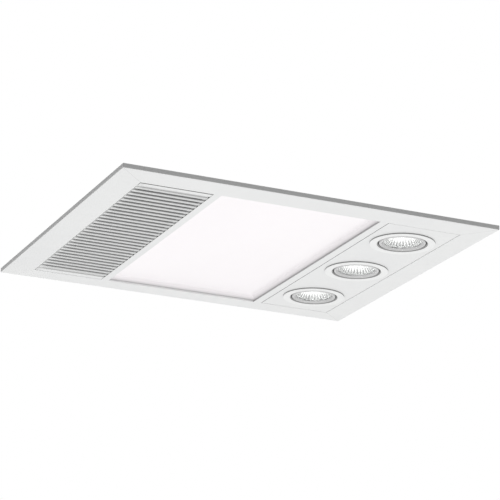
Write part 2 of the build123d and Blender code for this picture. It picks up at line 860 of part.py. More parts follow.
# Trim springs: two bent leaves behind each trim press on the back of the lamp plate
with BuildPart() as trim_springs:
    spring_foot = sleeve_radius + spring_gap + spring_sheet / 2
    for centre in lamp_centres:
        for side in (-1, 1):
            foot_y = centre[1] + side * spring_foot
            tip_y = foot_y + side * spring_reach
            spring_z = flange_top + spring_rise
            with BuildSketch(Plane.YZ.offset(lamp_x - spring_width / 2)):
                with BuildLine():
                    Polyline(
                        (foot_y, flange_top),
                        (foot_y, spring_z),
                        ((foot_y + tip_y) / 2, spring_z),
                        (tip_y, face_back + spring_sheet / 2 + spring_lift),
                        (tip_y + side * spring_toe, face_back + spring_sheet + spring_lift),
                    )
                trace(line_width=spring_sheet)
            extrude(amount=spring_width)
write(trim_springs, "trim_springs")

# Housing: a folded steel box, open below
blower_x = panel_x + blower_offset
mouth_x0 = blower_x - scroll_step / 2 + scroll_radius * cos(radians(tongue_angle))
mouth_x1 = blower_x + scroll_step / 2 + scroll_radius + 3 * scroll_step
mouth_x = (mouth_x0 + mouth_x1) / 2
mouth_z = scroll_base + scroll_height / 2
mouth_length = mouth_x1 - mouth_x0
wall_y = box_width / 2
spigot_z = mouth_z - spigot_drop
rivet_spacing = spigot_plate - 2 * rivet_inset
terminal_x = box_inside_x - terminal_inset
with BuildPart() as housing_box:
    with BuildSketch(Plane.XY.offset(-box_sheet)):
        Rectangle(box_length, box_width)
    extrude(amount=box_sheet + box_height)
    offset(amount=-box_sheet, openings=housing_box.faces().sort_by(Axis.Z)[0])

    # Slots for the leaf clips in both long walls
    with BuildSketch(Plane.XZ.offset(-wall_y)):
        for bar_x in bar_lines:
            with Locations((bar_x, leaf_bump_z)):
                Rectangle(leaf_slot_width, leaf_slot_height)
    extrude(amount=box_width, mode=Mode.SUBTRACT)

    # The fan's mouth and the spigot's rivets pass through one wall, the gland through the other
    with BuildSketch(Plane.XZ.offset(-wall_y)):
        with Locations((mouth_x, mouth_z)):
            Rectangle(mouth_length + 2 * mouth_gap, scroll_height + 2 * mouth_gap)
        with Locations((mouth_x, spigot_z)):
            with GridLocations(rivet_spacing, rivet_spacing, 2, 2):
                Circle(rivet_radius + screw_hole_gap)
    extrude(amount=box_sheet, mode=Mode.SUBTRACT)
    with BuildSketch(Plane.XZ.offset(wall_y)):
        with Locations((terminal_x, gland_z)):
            Circle(gland_thread_radius + gland_fit)
    extrude(amount=-box_sheet, mode=Mode.SUBTRACT)
write(housing_box, "housing_box")

# Ceiling flange: a flat frame welded round the box's foot, with the holes that fix the unit
fixing_spacing_x = box_length + box_flange
fixing_spacing_y = box_width - 2 * fixing_inset
with BuildPart() as ceiling_flange:
    with BuildSketch(Plane.XY):
        RectangleRounded(
            box_length + 2 * box_flange, box_width + 2 * box_flange, flange_corner_radius
        )
        Rectangle(box_length, box_width, mode=Mode.SUBTRACT)
        with GridLocations(fixing_spacing_x, fixing_spacing_y, 2, 2):
            Circle(fixing_radius, mode=Mode.SUBTRACT)
    extrude(amount=-box_sheet)
write(ceiling_flange, "ceiling_flange")

# Blower scroll: a four-arc spiral whose mouth passes through the housing wall
step = scroll_step / 2
mouth_end = wall_y + mouth_reach
inner_start = (mouth_x0, blower_y + step + scroll_radius * sin(radians(tongue_angle)))
with BuildPart() as exhaust_scroll:
    with BuildSketch(Plane.XY.offset(scroll_base)):
        with BuildLine():
            Line((mouth_x0, mouth_end), inner_start)
            for i, (side_x, side_y) in enumerate(((-1, 1), (-1, -1), (1, -1), (1, 1))):
                start_angle = max(90 * i, tongue_angle)
                CenterArc(
                    (blower_x + side_x * step, blower_y + side_y * step),
                    scroll_radius + i * scroll_step,
                    start_angle,
                    90 * (i + 1) - start_angle,
                )
            Polyline((mouth_x1, blower_y + step), (mouth_x1, mouth_end), (mouth_x0, mouth_end))
        make_face()
    extrude(amount=scroll_height)
    offset(amount=-scroll_sheet, openings=exhaust_scroll.faces().sort_by(Axis.Y)[-1])

    # Bell mouth curled up into the scroll, and the hole for the shaft above
    bell_radius = inlet_radius + inlet_flare
    bell_turn = inlet_flare * (1 - sqrt(0.5))
    bell_back = (inlet_flare - scroll_sheet) * sqrt(0.5)
    with BuildSketch(Plane.XY.offset(scroll_base)):
        with Locations((blower_x, blower_y)):
            Circle(bell_radius)
    extrude(amount=scroll_sheet, mode=Mode.SUBTRACT)
    with BuildSketch(
        Plane(origin=(blower_x, blower_y, scroll_base), x_dir=(1, 0, 0), z_dir=(0, -1, 0))
    ):
        with BuildLine():
            Polyline(
                (bell_radius, 0),
                (inlet_radius + bell_turn, bell_turn),
                (inlet_radius, inlet_flare),
                (inlet_radius + scroll_sheet, inlet_flare),
                (bell_radius - bell_back, inlet_flare - bell_back),
                (bell_radius, scroll_sheet),
                (bell_radius + inlet_land, scroll_sheet),
                (bell_radius + inlet_land, 0),
                close=True,
            )
        make_face()
    revolve(axis=Axis((blower_x, blower_y, scroll_base), (0, 0, 1)))
    with BuildSketch(Plane.XY.offset(scroll_top)):
        with Locations((blower_x, blower_y)):
            Circle(shaft_hole)
            with PolarLocations(motor_screw_circle, 3, start_angle=90):
                Circle(motor_screw_radius + screw_hole_gap)
    extrude(amount=-scroll_sheet, mode=Mode.SUBTRACT)
write(exhaust_scroll, "exhaust_scroll")

# Impeller: forward-curved blades between a top disc and a ring, with a hub on the disc
wheel_top = scroll_top - scroll_sheet - wheel_top_gap
wheel_height = wheel_top - wheel_base
blade_end = wheel_radius - blade_inset
blade_middle = (wheel_bore + blade_end) / 2
with BuildPart() as exhaust_impeller:
    with BuildSketch(mode=Mode.PRIVATE) as blade:
        with BuildLine():
            ThreePointArc(
                (wheel_bore + blade_inset, 0),
                (blade_middle, blade_middle * sin(radians(blade_bend))),
                (blade_end * cos(radians(blade_sweep)), blade_end * sin(radians(blade_sweep))),
            )
        trace(line_width=blade_thickness)
    with BuildSketch(Plane.XY.offset(wheel_base)):
        with Locations((blower_x, blower_y)):
            with PolarLocations(0, wheel_blades):
                add(blade.sketch)
    extrude(amount=wheel_height)
    with BuildSketch(Plane.XY.offset(wheel_top)):
        with Locations((blower_x, blower_y)):
            Circle(wheel_radius)
    extrude(amount=-wheel_sheet)
    with BuildSketch(Plane.XY.offset(wheel_base)):
        with Locations((blower_x, blower_y)):
            Circle(wheel_radius)
            Circle(wheel_radius - wheel_sheet, mode=Mode.SUBTRACT)
    extrude(amount=wheel_ring)
    with BuildSketch(Plane.XY.offset(wheel_top)):
        with Locations((blower_x, blower_y)):
            Circle(hub_radius)
    extrude(amount=-hub_height)
    with BuildSketch(Plane.XY.offset(wheel_top)):
        with Locations((blower_x, blower_y)):
            Circle(shaft_radius + hub_fit)
    extrude(amount=-hub_height, mode=Mode.SUBTRACT)
write(exhaust_impeller, "exhaust_impeller")

# Shaft: fixed in the hub and running in the motor
shaft_bottom = wheel_top - hub_height - shaft_tail
shaft_top = motor_base + motor_bore_depth - shaft_tail
with BuildPart() as exhaust_shaft:
    with BuildSketch(Plane.XY.offset(shaft_bottom)):
        with Locations((blower_x, blower_y)):
            Circle(shaft_radius)
    extrude(amount=shaft_top - shaft_bottom)
write(exhaust_shaft, "exhaust_shaft")

# Motor: a round can on a flange, screwed on top of the scroll
with BuildPart() as exhaust_motor:
    with BuildSketch(Plane.XY.offset(scroll_top)):
        with Locations((blower_x, blower_y)):
            Circle(motor_flange_radius)
            with PolarLocations(motor_screw_circle, 3, start_angle=90):
                Circle(motor_screw_radius + screw_hole_gap, mode=Mode.SUBTRACT)
    extrude(amount=motor_flange_sheet)
    with BuildSketch(Plane.XY.offset(motor_base)):
        with Locations((blower_x, blower_y)):
            Circle(motor_radius)
    extrude(amount=motor_height)
    chamfer(exhaust_motor.faces().sort_by(Axis.Z)[-1].edges(), motor_boss_height)
    with BuildSketch(Plane.XY.offset(motor_base + motor_height)):
        with Locations((blower_x, blower_y)):
            Circle(motor_boss_radius)
    extrude(amount=motor_boss_height)
    with BuildSketch(Plane.XY.offset(scroll_top)):
        with Locations((blower_x, blower_y)):
            Circle(shaft_radius + motor_fit)
    extrude(amount=motor_flange_sheet + motor_bore_depth, mode=Mode.SUBTRACT)
write(exhaust_motor, "exhaust_motor")

with BuildPart() as motor_screws:
    with Locations((blower_x, blower_y, motor_base)):
        with PolarLocations(motor_screw_circle, 3, start_angle=90):
            screw(motor_screw_radius, motor_screw_depth)
write(motor_screws, "motor_screws")

# Hangers: four folded brackets between the scroll and the roof of the housing
with BuildPart() as exhaust_hangers:
    for side_x in (-1, 1):
        for side_y in (-1, 1):
            leg_x = blower_x + side_x * hanger_out
            foot_x = leg_x + side_x * hanger_foot
            hanger_edge = blower_y + side_y * hanger_out + hanger_width / 2
            with BuildSketch(Plane.XZ.offset(-hanger_edge)):
                with BuildLine():
                    Polyline(
                        (foot_x, scroll_top + hanger_sheet / 2),
                        (leg_x, scroll_top + hanger_sheet / 2),
                        (leg_x, box_inside_top - hanger_sheet / 2),
                        (foot_x, box_inside_top - hanger_sheet / 2),
                    )
                trace(line_width=hanger_sheet)
            extrude(amount=hanger_width)
write(exhaust_hangers, "exhaust_hangers")

# Run capacitor of the motor, strapped on top of the scroll
with BuildPart() as motor_capacitor:
    with BuildSketch(Plane.XY.offset(scroll_top)):
        with Locations((blower_x, blower_y + capacitor_y)):
            RectangleRounded(capacitor_size[0], capacitor_size[1], 2 * capacitor_radius)
    extrude(amount=capacitor_size[2])
    fillet(motor_capacitor.faces().sort_by(Axis.Z)[-1].edges(), capacitor_radius)
write(motor_capacitor, "motor_capacitor")

# Mouth plate: a square plate riveted over the mouth, with two ears for the flap's pin
tube_y = wall_y + spigot_wall
flap_half = mouth_length / 2 - scroll_sheet + flap_overlap
flap_y = mouth_end + flap_seat_gap
pin_y = flap_y + flap_sheet / 2 - flap_pin_set_back
pin_z = scroll_top + flap_pin_above_mouth
ear_outer = flap_half - flap_ear_inset + flap_ear_width
with BuildPart() as mouth_plate:
    with BuildSketch(Plane.XZ.offset(-wall_y)):
        with Locations((mouth_x, spigot_z)):
            RectangleRounded(spigot_plate, spigot_plate, rivet_inset)
            with GridLocations(rivet_spacing, rivet_spacing, 2, 2):
                Circle(rivet_radius + screw_hole_gap, mode=Mode.SUBTRACT)
        with Locations((mouth_x, mouth_z)):
            Rectangle(
                mouth_length + 2 * mouth_gap, scroll_height + 2 * mouth_gap, mode=Mode.SUBTRACT
            )
    extrude(amount=-spigot_wall)
    for side in (-1, 1):
        with BuildSketch(Plane.YZ.offset(mouth_x + side * ear_outer)):
            with Locations((pin_y, pin_z)):
                Circle(flap_ear_height / 2)
            with Locations(((tube_y + pin_y) / 2, pin_z)):
                Rectangle(pin_y - tube_y, flap_ear_height)
            with Locations((pin_y, pin_z)):
                Circle(flap_pin_radius + pin_fit, mode=Mode.SUBTRACT)
        extrude(amount=-side * flap_ear_width)
write(mouth_plate, "spigot_plate")

# Duct spigot: the tube that a 150 mm duct is pushed over
with BuildPart() as duct_spigot:
    with BuildSketch(Plane.XZ.offset(-tube_y)):
        with Locations((mouth_x, spigot_z)):
            Circle(spigot_radius)
            Circle(spigot_radius - spigot_wall, mode=Mode.SUBTRACT)
    extrude(amount=-(spigot_length - spigot_wall))
write(duct_spigot, "duct_spigot")

with BuildPart() as spigot_rivets:
    with BuildSketch(Plane.XZ.offset(-tube_y)):
        with Locations((mouth_x, spigot_z)):
            with GridLocations(rivet_spacing, rivet_spacing, 2, 2):
                Circle(rivet_head_radius)
    extrude(amount=-rivet_head_height)
    with BuildSketch(Plane.XZ.offset(-tube_y)):
        with Locations((mouth_x, spigot_z)):
            with GridLocations(rivet_spacing, rivet_spacing, 2, 2):
                Circle(rivet_radius)
    extrude(amount=spigot_wall + box_sheet)
    with BuildSketch(Plane.XZ.offset(-box_inside_y)):
        with Locations((mouth_x, spigot_z)):
            with GridLocations(rivet_spacing, rivet_spacing, 2, 2):
                Circle(rivet_tail_radius)
    extrude(amount=rivet_tail)
write(spigot_rivets, "spigot_rivets")

# Backdraft flap: hangs on its pin over the mouth, with a barrel along its top edge
flap_bottom = scroll_base + scroll_sheet - flap_overlap
flap_shoulder = pin_z - flap_ear_height / 2 - flap_ear_gap
barrel_half = flap_half - flap_ear_inset - flap_ear_gap
with BuildPart() as backdraft_flap:
    with BuildSketch(Plane.XZ.offset(-flap_y)):
        with Locations((mouth_x, (flap_bottom + flap_shoulder) / 2)):
            Rectangle(2 * flap_half, flap_shoulder - flap_bottom)
        with Locations((mouth_x, (flap_bottom + pin_z) / 2)):
            Rectangle(2 * barrel_half, pin_z - flap_bottom)
    extrude(amount=-flap_sheet)
    with BuildSketch(Plane.YZ.offset(mouth_x - barrel_half)):
        with Locations((pin_y, pin_z)):
            Circle(flap_barrel_radius)
    extrude(amount=2 * barrel_half)
    with BuildSketch(Plane.YZ.offset(mouth_x - flap_half)):
        with Locations((pin_y, pin_z)):
            Circle(flap_pin_radius + running_gap)
    extrude(amount=2 * flap_half, mode=Mode.SUBTRACT)
write(backdraft_flap, "backdraft_flap")

with BuildPart() as flap_pin:
    with BuildSketch(Plane.YZ.offset(mouth_x - ear_outer)):
        with Locations((pin_y, pin_z)):
            Circle(flap_pin_radius)
    extrude(amount=2 * ear_outer)
write(flap_pin, "flap_pin")

# Heater casing: a rear guide and a tongue of sheet between two end plates with wall tabs
casing_end = box_inside_y - casing_inset
casing_start = casing_end - casing_length
casing_x0 = grille_x - outlet_width / 2
casing_x1 = grille_x + outlet_width / 2
sheet_x0 = casing_x0 + casing_sheet / 2
sheet_x1 = casing_x1 - casing_sheet / 2
rotor_x = grille_x + rotor_offset
casing_top = rotor_height + guide_end[1] + end_plate_margin
with BuildPart() as heater_casing:
    with BuildSketch(Plane.XZ.offset(-casing_end)):
        with BuildLine():
            Line((sheet_x0, casing_base), (sheet_x0, rotor_height + guide_knee))
            ThreePointArc(
                (sheet_x0, rotor_height + guide_knee),
                (rotor_x + guide_middle[0], rotor_height + guide_middle[1]),
                (rotor_x + guide_end[0], rotor_height + guide_end[1]),
            )
        trace(line_width=casing_sheet)
        with BuildLine():
            Polyline(
                (sheet_x1, casing_base),
                (sheet_x1, rotor_height + tongue_foot),
                (rotor_x + tongue_tip[0], rotor_height + tongue_tip[1]),
            )
        trace(line_width=casing_sheet)
    extrude(amount=casing_end - casing_start)
    for plate_y in (casing_end, casing_start + casing_sheet):
        with BuildSketch(Plane.XZ.offset(-plate_y)):
            with Locations((grille_x, (casing_base + casing_top) / 2)):
                RectangleRounded(
                    outlet_width + 2 * end_plate_margin, casing_top - casing_base, end_plate_radius
                )
            with Locations((rotor_x, rotor_height)):
                Circle(heater_shaft_hole, mode=Mode.SUBTRACT)
            with Locations(((casing_x0 - box_inside_x) / 2, rotor_height)):
                Rectangle(casing_x0 + box_inside_x, casing_tab_height)
        extrude(amount=casing_sheet)
        with BuildSketch(Plane.YZ.offset(-box_inside_x)):
            with Locations((plate_y - casing_tab_foot / 2, rotor_height)):
                Rectangle(casing_tab_foot, casing_tab_height)
        extrude(amount=casing_sheet)
write(heater_casing, "heater_casing")

# Cross-flow rotor: curved blades between two discs with stub shafts
rotor_y0 = casing_start + casing_sheet + rotor_end_gap
rotor_y1 = casing_end - casing_sheet - rotor_end_gap
with BuildPart() as heater_impeller:
    with BuildSketch(mode=Mode.PRIVATE) as vane:
        with BuildLine():
            Polyline(
                (rotor_bore, 0),
                ((rotor_bore + rotor_radius) / 2, rotor_blade_thickness / 2),
                (rotor_radius - rotor_blade_thickness, 3 * rotor_blade_thickness),
            )
        trace(line_width=rotor_blade_thickness)
    with BuildSketch(Plane.XZ.offset(-rotor_y1)):
        with Locations((rotor_x, rotor_height)):
            with PolarLocations(0, rotor_blades):
                add(vane.sketch)
    extrude(amount=rotor_y1 - rotor_y0)
    for disc_y in (rotor_y1, rotor_y0 + rotor_disc):
        with BuildSketch(Plane.XZ.offset(-disc_y)):
            with Locations((rotor_x, rotor_height)):
                Circle(rotor_radius)
        extrude(amount=rotor_disc)
    with BuildSketch(Plane.XZ.offset(-(rotor_y0 + rotor_disc))):
        with Locations((rotor_x, rotor_height)):
            Circle(heater_shaft_radius)
    extrude(amount=rotor_disc + rotor_end_gap + casing_sheet + heater_shaft_reach)
    with BuildSketch(Plane.XZ.offset(-(rotor_y1 - rotor_disc))):
        with Locations((rotor_x, rotor_height)):
            Circle(heater_shaft_radius)
    extrude(amount=-(rotor_disc + rotor_end_gap + casing_sheet + bearing_shaft_reach))
write(heater_impeller, "heater_impeller")

with BuildPart() as heater_motor:
    with BuildSketch(Plane.XZ.offset(-casing_start)):
        with Locations((rotor_x, rotor_height)):
            Circle(heater_motor_radius)
    extrude(amount=heater_motor_length)
    fillet(heater_motor.faces().sort_by(Axis.Y)[0].edges(), motor_boss_height)
    with BuildSketch(Plane.XZ.offset(-casing_start)):
        with Locations((rotor_x, rotor_height)):
            Circle(heater_shaft_radius + motor_fit)
    extrude(amount=heater_shaft_reach + rotor_disc, mode=Mode.SUBTRACT)
write(heater_motor, "heater_motor")

with BuildPart() as heater_bearing:
    with BuildSketch(Plane.XZ.offset(-casing_end)):
        with Locations((rotor_x, rotor_height)):
            Circle(bearing_radius)
            Circle(heater_shaft_radius + motor_fit, mode=Mode.SUBTRACT)
    extrude(amount=-bearing_length)
write(heater_bearing, "heater_bearing")

# Heating element: three bars with close fins across them, held at both ends
ptc_y0 = casing_start + casing_sheet + ptc_holder_length
ptc_y1 = casing_end - casing_sheet - ptc_holder_length
ptc_width = outlet_width - 2 * (casing_sheet + ptc_side_gap)
fin_count = int((ptc_y1 - ptc_y0) / ptc_fin_pitch)
ptc_y = (ptc_y0 + ptc_y1) / 2
ptc_bar_pitch = (ptc_width - ptc_bar_width) / (ptc_rows - 1)
with BuildPart() as ptc_element:
    with BuildSketch(Plane.XY.offset(ptc_base)):
        with Locations((grille_x, ptc_y)):
            with GridLocations(0, ptc_fin_pitch, 1, fin_count):
                Rectangle(ptc_width - ptc_bar_width, ptc_fin_thickness)
            with GridLocations(ptc_bar_pitch, 0, ptc_rows, 1):
                Rectangle(ptc_bar_width, ptc_y1 - ptc_y0)
    extrude(amount=ptc_height)
write(ptc_element, "ptc_element")

with BuildPart() as ptc_holders:
    with BuildSketch(Plane.XY.offset(ptc_base - ptc_side_gap)):
        with Locations((grille_x, ptc_y)):
            with GridLocations(0, ptc_y1 - ptc_y0 + ptc_holder_length, 1, 2):
                Rectangle(outlet_width - 2 * casing_sheet, ptc_holder_length)
    extrude(amount=ptc_height + 2 * ptc_side_gap)
write(ptc_holders, "ptc_holders")

# Thermal cut-out: a disc on the outside of the tongue's sheet
cutout_y = casing_start + cutout_start
with BuildPart() as thermal_cutout:
    with BuildSketch(Plane.YZ.offset(casing_x1)):
        with Locations((cutout_y, cutout_z)):
            Circle(cutout_radius)
    extrude(amount=cutout_height)
    with BuildSketch(Plane.YZ.offset(casing_x1 + cutout_height)):
        with Locations((cutout_y, cutout_z)):
            with GridLocations(0, cutout_radius, 1, 2):
                Rectangle(cutout_radius, cutout_tab)
    extrude(amount=cutout_height)
write(thermal_cutout, "thermal_cutout")

# Terminal block for the mains wires, on the wall opposite the duct
block_face = -(box_inside_y - terminal_size[2])
with BuildPart() as terminal_block:
    with BuildSketch(Plane.XZ.offset(box_inside_y)):
        with Locations((terminal_x, terminal_z)):
            Rectangle(terminal_size[0], terminal_size[1])
    extrude(amount=-terminal_size[2])
    with BuildSketch(Plane.XZ.offset(-block_face)):
        with Locations((terminal_x, terminal_z)):
            with GridLocations(terminal_size[0] / terminal_ways, terminal_size[1] / 2, terminal_ways, 2):
                Circle(terminal_screw_radius)
    extrude(amount=terminal_screw_depth, mode=Mode.SUBTRACT)
write(terminal_block, "terminal_block")

# Terminal cover: a sheet box over the block and the gland, open to the wall
with BuildPart() as terminal_cover:
    with BuildSketch(Plane.XZ.offset(box_inside_y)):
        with Locations((terminal_x, cover_z)):
            Rectangle(cover_size[0], cover_size[1])
    extrude(amount=-cover_size[2])
    offset(amount=-cover_sheet, openings=terminal_cover.faces().sort_by(Axis.Y)[0])
    with BuildSketch(Plane.XZ.offset(box_inside_y)):
        with Locations((terminal_x, cover_z)):
            Rectangle(cover_size[0] + 2 * cover_flange, cover_size[1] / 2)
            Rectangle(cover_size[0] - cover_sheet, cover_size[1], mode=Mode.SUBTRACT)
    extrude(amount=-cover_sheet)
write(terminal_cover, "terminal_cover")

# Cable gland: a threaded sleeve through the wall with a hexagon and a dome outside
with BuildPart() as cable_gland:
    with BuildSketch(Plane.XZ.offset(wall_y)):
        with Locations((terminal_x, gland_z)):
            RegularPolygon(gland_hex / 2, 6, major_radius=False)
    extrude(amount=gland_hex_length)
    with BuildSketch(Plane.XZ.offset(wall_y + gland_hex_length)):
        with Locations((terminal_x, gland_z)):
            Circle(gland_dome_radius)
    extrude(amount=gland_dome_length)
    fillet(cable_gland.faces().sort_by(Axis.Y)[0].edges(), motor_boss_height)
    with BuildSketch(Plane.XZ.offset(wall_y)):
        with Locations((terminal_x, gland_z)):
            Circle(gland_thread_radius)
    extrude(amount=-gland_inside)
    with BuildSketch(Plane.XZ.offset(wall_y + gland_hex_length + gland_dome_length)):
        with Locations((terminal_x, gland_z)):
            Circle(gland_bore_radius)
    extrude(amount=-(gland_hex_length + gland_dome_length + gland_inside), mode=Mode.SUBTRACT)
write(cable_gland, "cable_gland")

with BuildPart() as gland_nut:
    with BuildSketch(Plane.XZ.offset(box_inside_y)):
        with Locations((terminal_x, gland_z)):
            RegularPolygon(gland_hex / 2, 6, major_radius=False)
            Circle(gland_thread_radius + gland_fit, mode=Mode.SUBTRACT)
    extrude(amount=-gland_nut_thickness)
write(gland_nut, "gland_nut")
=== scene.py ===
"""Bathroom ceiling heater, seen from below as it hangs in a white ceiling."""

import json
from math import atan2, cos, pi, radians, sin

import bmesh
import bpy
from mathutils import Matrix, Vector


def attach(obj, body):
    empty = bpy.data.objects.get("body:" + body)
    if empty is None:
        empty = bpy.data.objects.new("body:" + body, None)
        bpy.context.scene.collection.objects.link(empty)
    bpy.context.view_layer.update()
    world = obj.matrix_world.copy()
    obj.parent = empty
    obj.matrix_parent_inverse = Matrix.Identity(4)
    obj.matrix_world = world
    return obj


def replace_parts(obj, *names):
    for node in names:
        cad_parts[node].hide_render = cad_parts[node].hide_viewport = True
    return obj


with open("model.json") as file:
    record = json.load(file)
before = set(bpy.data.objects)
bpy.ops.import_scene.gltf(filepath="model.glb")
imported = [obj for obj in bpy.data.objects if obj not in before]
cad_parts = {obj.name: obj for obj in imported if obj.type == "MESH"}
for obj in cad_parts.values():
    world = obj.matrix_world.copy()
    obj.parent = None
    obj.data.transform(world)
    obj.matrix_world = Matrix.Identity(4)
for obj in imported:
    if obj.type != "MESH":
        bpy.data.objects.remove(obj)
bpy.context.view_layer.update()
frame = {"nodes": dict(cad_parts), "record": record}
nodes = frame["nodes"]
scene = bpy.context.scene
scene.view_settings.view_transform = "Standard"

MM = 0.001

# Places and sizes in millimetres, as in the part's source
FASCIA_LENGTH = 500.0
FASCIA_WIDTH = 460.0
FACE_Z = -7.1
SLAT_DEPTH = 2.0
SLOT_PITCH = 12.0
SLOT_HALF = 3.0
FIELD_Y = 183.5
BAR_X = -120.0
FLOOR_Z = 0.9
PANEL_X0, PANEL_X1 = -110.0, 103.0
PANEL_Y = 194.0
GRILLE_X0, GRILLE_Y0 = -213.7, -192.0
PLATE_X0 = 114.8
BOX_X, BOX_Y, BOX_TOP = 219.0, 199.0, 192.0
BEAD_INSET, BEAD_WIDTH, BEAD_DEPTH = 26.0, 13.0, 1.3
LAP_WIDTH, LAP_SHEET, LAP_WELDS = 13.0, 0.7, 5
LAP_END_GAP, LAP_LIFT, LAP_EDGE_GAP = 6.0, 1.0, 0.3
WELD_END, WELD_FOOT, WELD_TOP, WELD_HEIGHT, WELD_SEAT = 18.0, 2.9, 2.1, 0.3, 0.14
LAMP_X = 165.25
LAMP_STEP = 131.733

# Heights of a lamp's pieces are counted from the pivot of its tilting ring
PIVOT_Z = -4.5
TRIM_FRONT = -4.3
FLUTES = 30
BOWL_LOW, BOWL_HIGH = 1.2, 30.0
BOWL_WALL, BOWL_WALL_RISE = 0.3, 0.1
FLUTE_LOW, FLUTE_WAIST = 2.0, 0.975
PIN_SIDE, PIN_FOOT, PIN_TIP, PIN_LENGTH, PIN_Z = 5.0, 2.4, 2.1, 5.0, 48.5
CLIP_RADIUS, CLIP_WIRE, CLIP_Z = 25.3, 0.5, -1.1
CLIP_START, CLIP_TURN, CLIP_STEPS, CLIP_TIP = 102, 336, 112, 2.4

# The ceiling board and the room
CEILING_Z, CEILING_GAP = 0.2, 2.0
BACK_Z, BACK_GAP = 9.5, 0.3
CEILING_SPREAD = (13, 14, 1)
ROOM_LEVEL, WHITE_LEVEL = 0.48, 1.0


# The camera looks up from below and a little from the left, with a long lens
def aim_camera():
    azimuth, elevation, roll = radians(23.340), radians(17.912), radians(1.280)
    distance, shift_right, shift_up, aim_height = 3.02479, 0.011332, 0.0023846, -5.7 * MM
    forward = Vector(
        (sin(azimuth) * cos(elevation), cos(azimuth) * cos(elevation), sin(elevation))
    )
    level = Vector((cos(azimuth), -sin(azimuth), 0))
    upright = level.cross(forward)
    right = level * cos(roll) + upright * sin(roll)
    up = upright * cos(roll) - level * sin(roll)
    place = Vector((0, 0, aim_height)) - forward * distance
    place += right * shift_right + up * shift_up
    camera = bpy.data.objects.new("camera", bpy.data.cameras.new("camera"))
    camera.data.sensor_width = 36
    camera.data.lens = 169.03
    camera.data.clip_end = 50
    turn = Matrix((right, up, -forward)).transposed().to_4x4()
    camera.matrix_world = Matrix.Translation(place) @ turn
    scene.collection.objects.link(camera)
    scene.camera = camera


aim_camera()


# Materials: every finish is made from noise and from the piece's own place in space
class Finish:
    """A Principled material with a few helpers for its colour, roughness and bump."""

    def __init__(self, name, colour, roughness, metallic=0.0):
        self.material = bpy.data.materials.new(name)
        self.material.use_nodes = True
        self.tree = self.material.node_tree
        self.shader = self.tree.nodes["Principled BSDF"]
        self.colour = colour
        self.set("Base Color", (*colour, 1))
        self.set("Roughness", roughness)
        self.set("Metallic", metallic)
        self.place = self.tree.nodes.new("ShaderNodeTexCoord").outputs["Object"]
        self.height = None

    def set(self, name, value):
        self.shader.inputs[name].default_value = value
        return self

    def link(self, output, socket):
        self.tree.links.new(output, socket)

    def noise(self, scale, detail=2.0, stretch=None):
        place = self.place
        if stretch:
            mapping = self.tree.nodes.new("ShaderNodeMapping")
            mapping.inputs["Scale"].default_value = stretch
            self.link(place, mapping.inputs["Vector"])
            place = mapping.outputs[0]
        texture = self.tree.nodes.new("ShaderNodeTexNoise")
        texture.inputs["Scale"].default_value = scale
        texture.inputs["Detail"].default_value = detail
        self.link(place, texture.inputs["Vector"])
        return texture.outputs["Fac"]

    def cells(self, scale):
        texture = self.tree.nodes.new("ShaderNodeTexVoronoi")
        texture.inputs["Scale"].default_value = scale
        self.link(self.place, texture.inputs["Vector"])
        split = self.tree.nodes.new("ShaderNodeSeparateColor")
        self.link(texture.outputs["Color"], split.inputs[0])
        return split.outputs[0]

    def axis(self, number, source=None):
        """One coordinate of the piece's place, or of its own map."""
        split = self.tree.nodes.new("ShaderNodeSeparateXYZ")
        self.link(source or self.place, split.inputs[0])
        return split.outputs[number]

    def sum(self, operation, first, second=0.0):
        node = self.tree.nodes.new("ShaderNodeMath")
        node.operation = operation
        for socket, value in zip(node.inputs, (first, second)):
            if isinstance(value, float):
                socket.default_value = value
            else:
                self.link(value, socket)
        return node.outputs[0]

    def ramp(self, source, low, high, start=0.35, end=0.65):
        """Maps the values from start to end to the range from low to high."""
        node = self.tree.nodes.new("ShaderNodeMapRange")
        node.inputs["From Min"].default_value = start
        node.inputs["From Max"].default_value = end
        node.inputs["To Min"].default_value = low
        node.inputs["To Max"].default_value = high
        self.link(source, node.inputs["Value"])
        return node.outputs["Result"]

    def tint(self, source, other, start=0.35, end=0.65):
        """Blends the colour made so far towards another one by a texture."""
        mix = self.tree.nodes.new("ShaderNodeMix")
        mix.data_type = "RGBA"
        base = self.shader.inputs["Base Color"]
        if base.is_linked:
            self.link(base.links[0].from_socket, mix.inputs["A"])
        else:
            mix.inputs["A"].default_value = (*self.colour, 1)
        mix.inputs["B"].default_value = (*other, 1)
        self.link(self.ramp(source, 0, 1, start, end), mix.inputs["Factor"])
        self.link(mix.outputs["Result"], base)
        return self

    def rough(self, source, low, high):
        self.link(self.ramp(source, low, high), self.shader.inputs["Roughness"])
        return self

    def bump(self, source, depth, strength=1.0):
        """Adds a height, in metres, on top of any bump that is already there."""
        node = self.tree.nodes.new("ShaderNodeBump")
        node.inputs["Strength"].default_value = strength
        node.inputs["Distance"].default_value = depth
        self.link(source, node.inputs["Height"])
        if self.height:
            self.link(self.height, node.inputs["Normal"])
        self.height = node.outputs["Normal"]
        self.link(self.height, self.shader.inputs["Normal"])
        return self


def grey(level):
    return (level, level, level)


def moulded(name, colour, shade, roughness, grain=2600, depth=0.000003):
    """Moulded plastic with a spark-eroded grain and faint flow marks."""
    finish = Finish(name, colour, roughness)
    flow = finish.noise(9, 3, (1, 0.35, 1))
    finish.tint(flow, shade)
    finish.rough(finish.noise(60), roughness - 0.04, roughness + 0.06)
    return finish.bump(finish.noise(grain, 1), depth)


WHITE = (0.815, 0.82, 0.815)
WHITE_SHADE = (0.795, 0.80, 0.80)


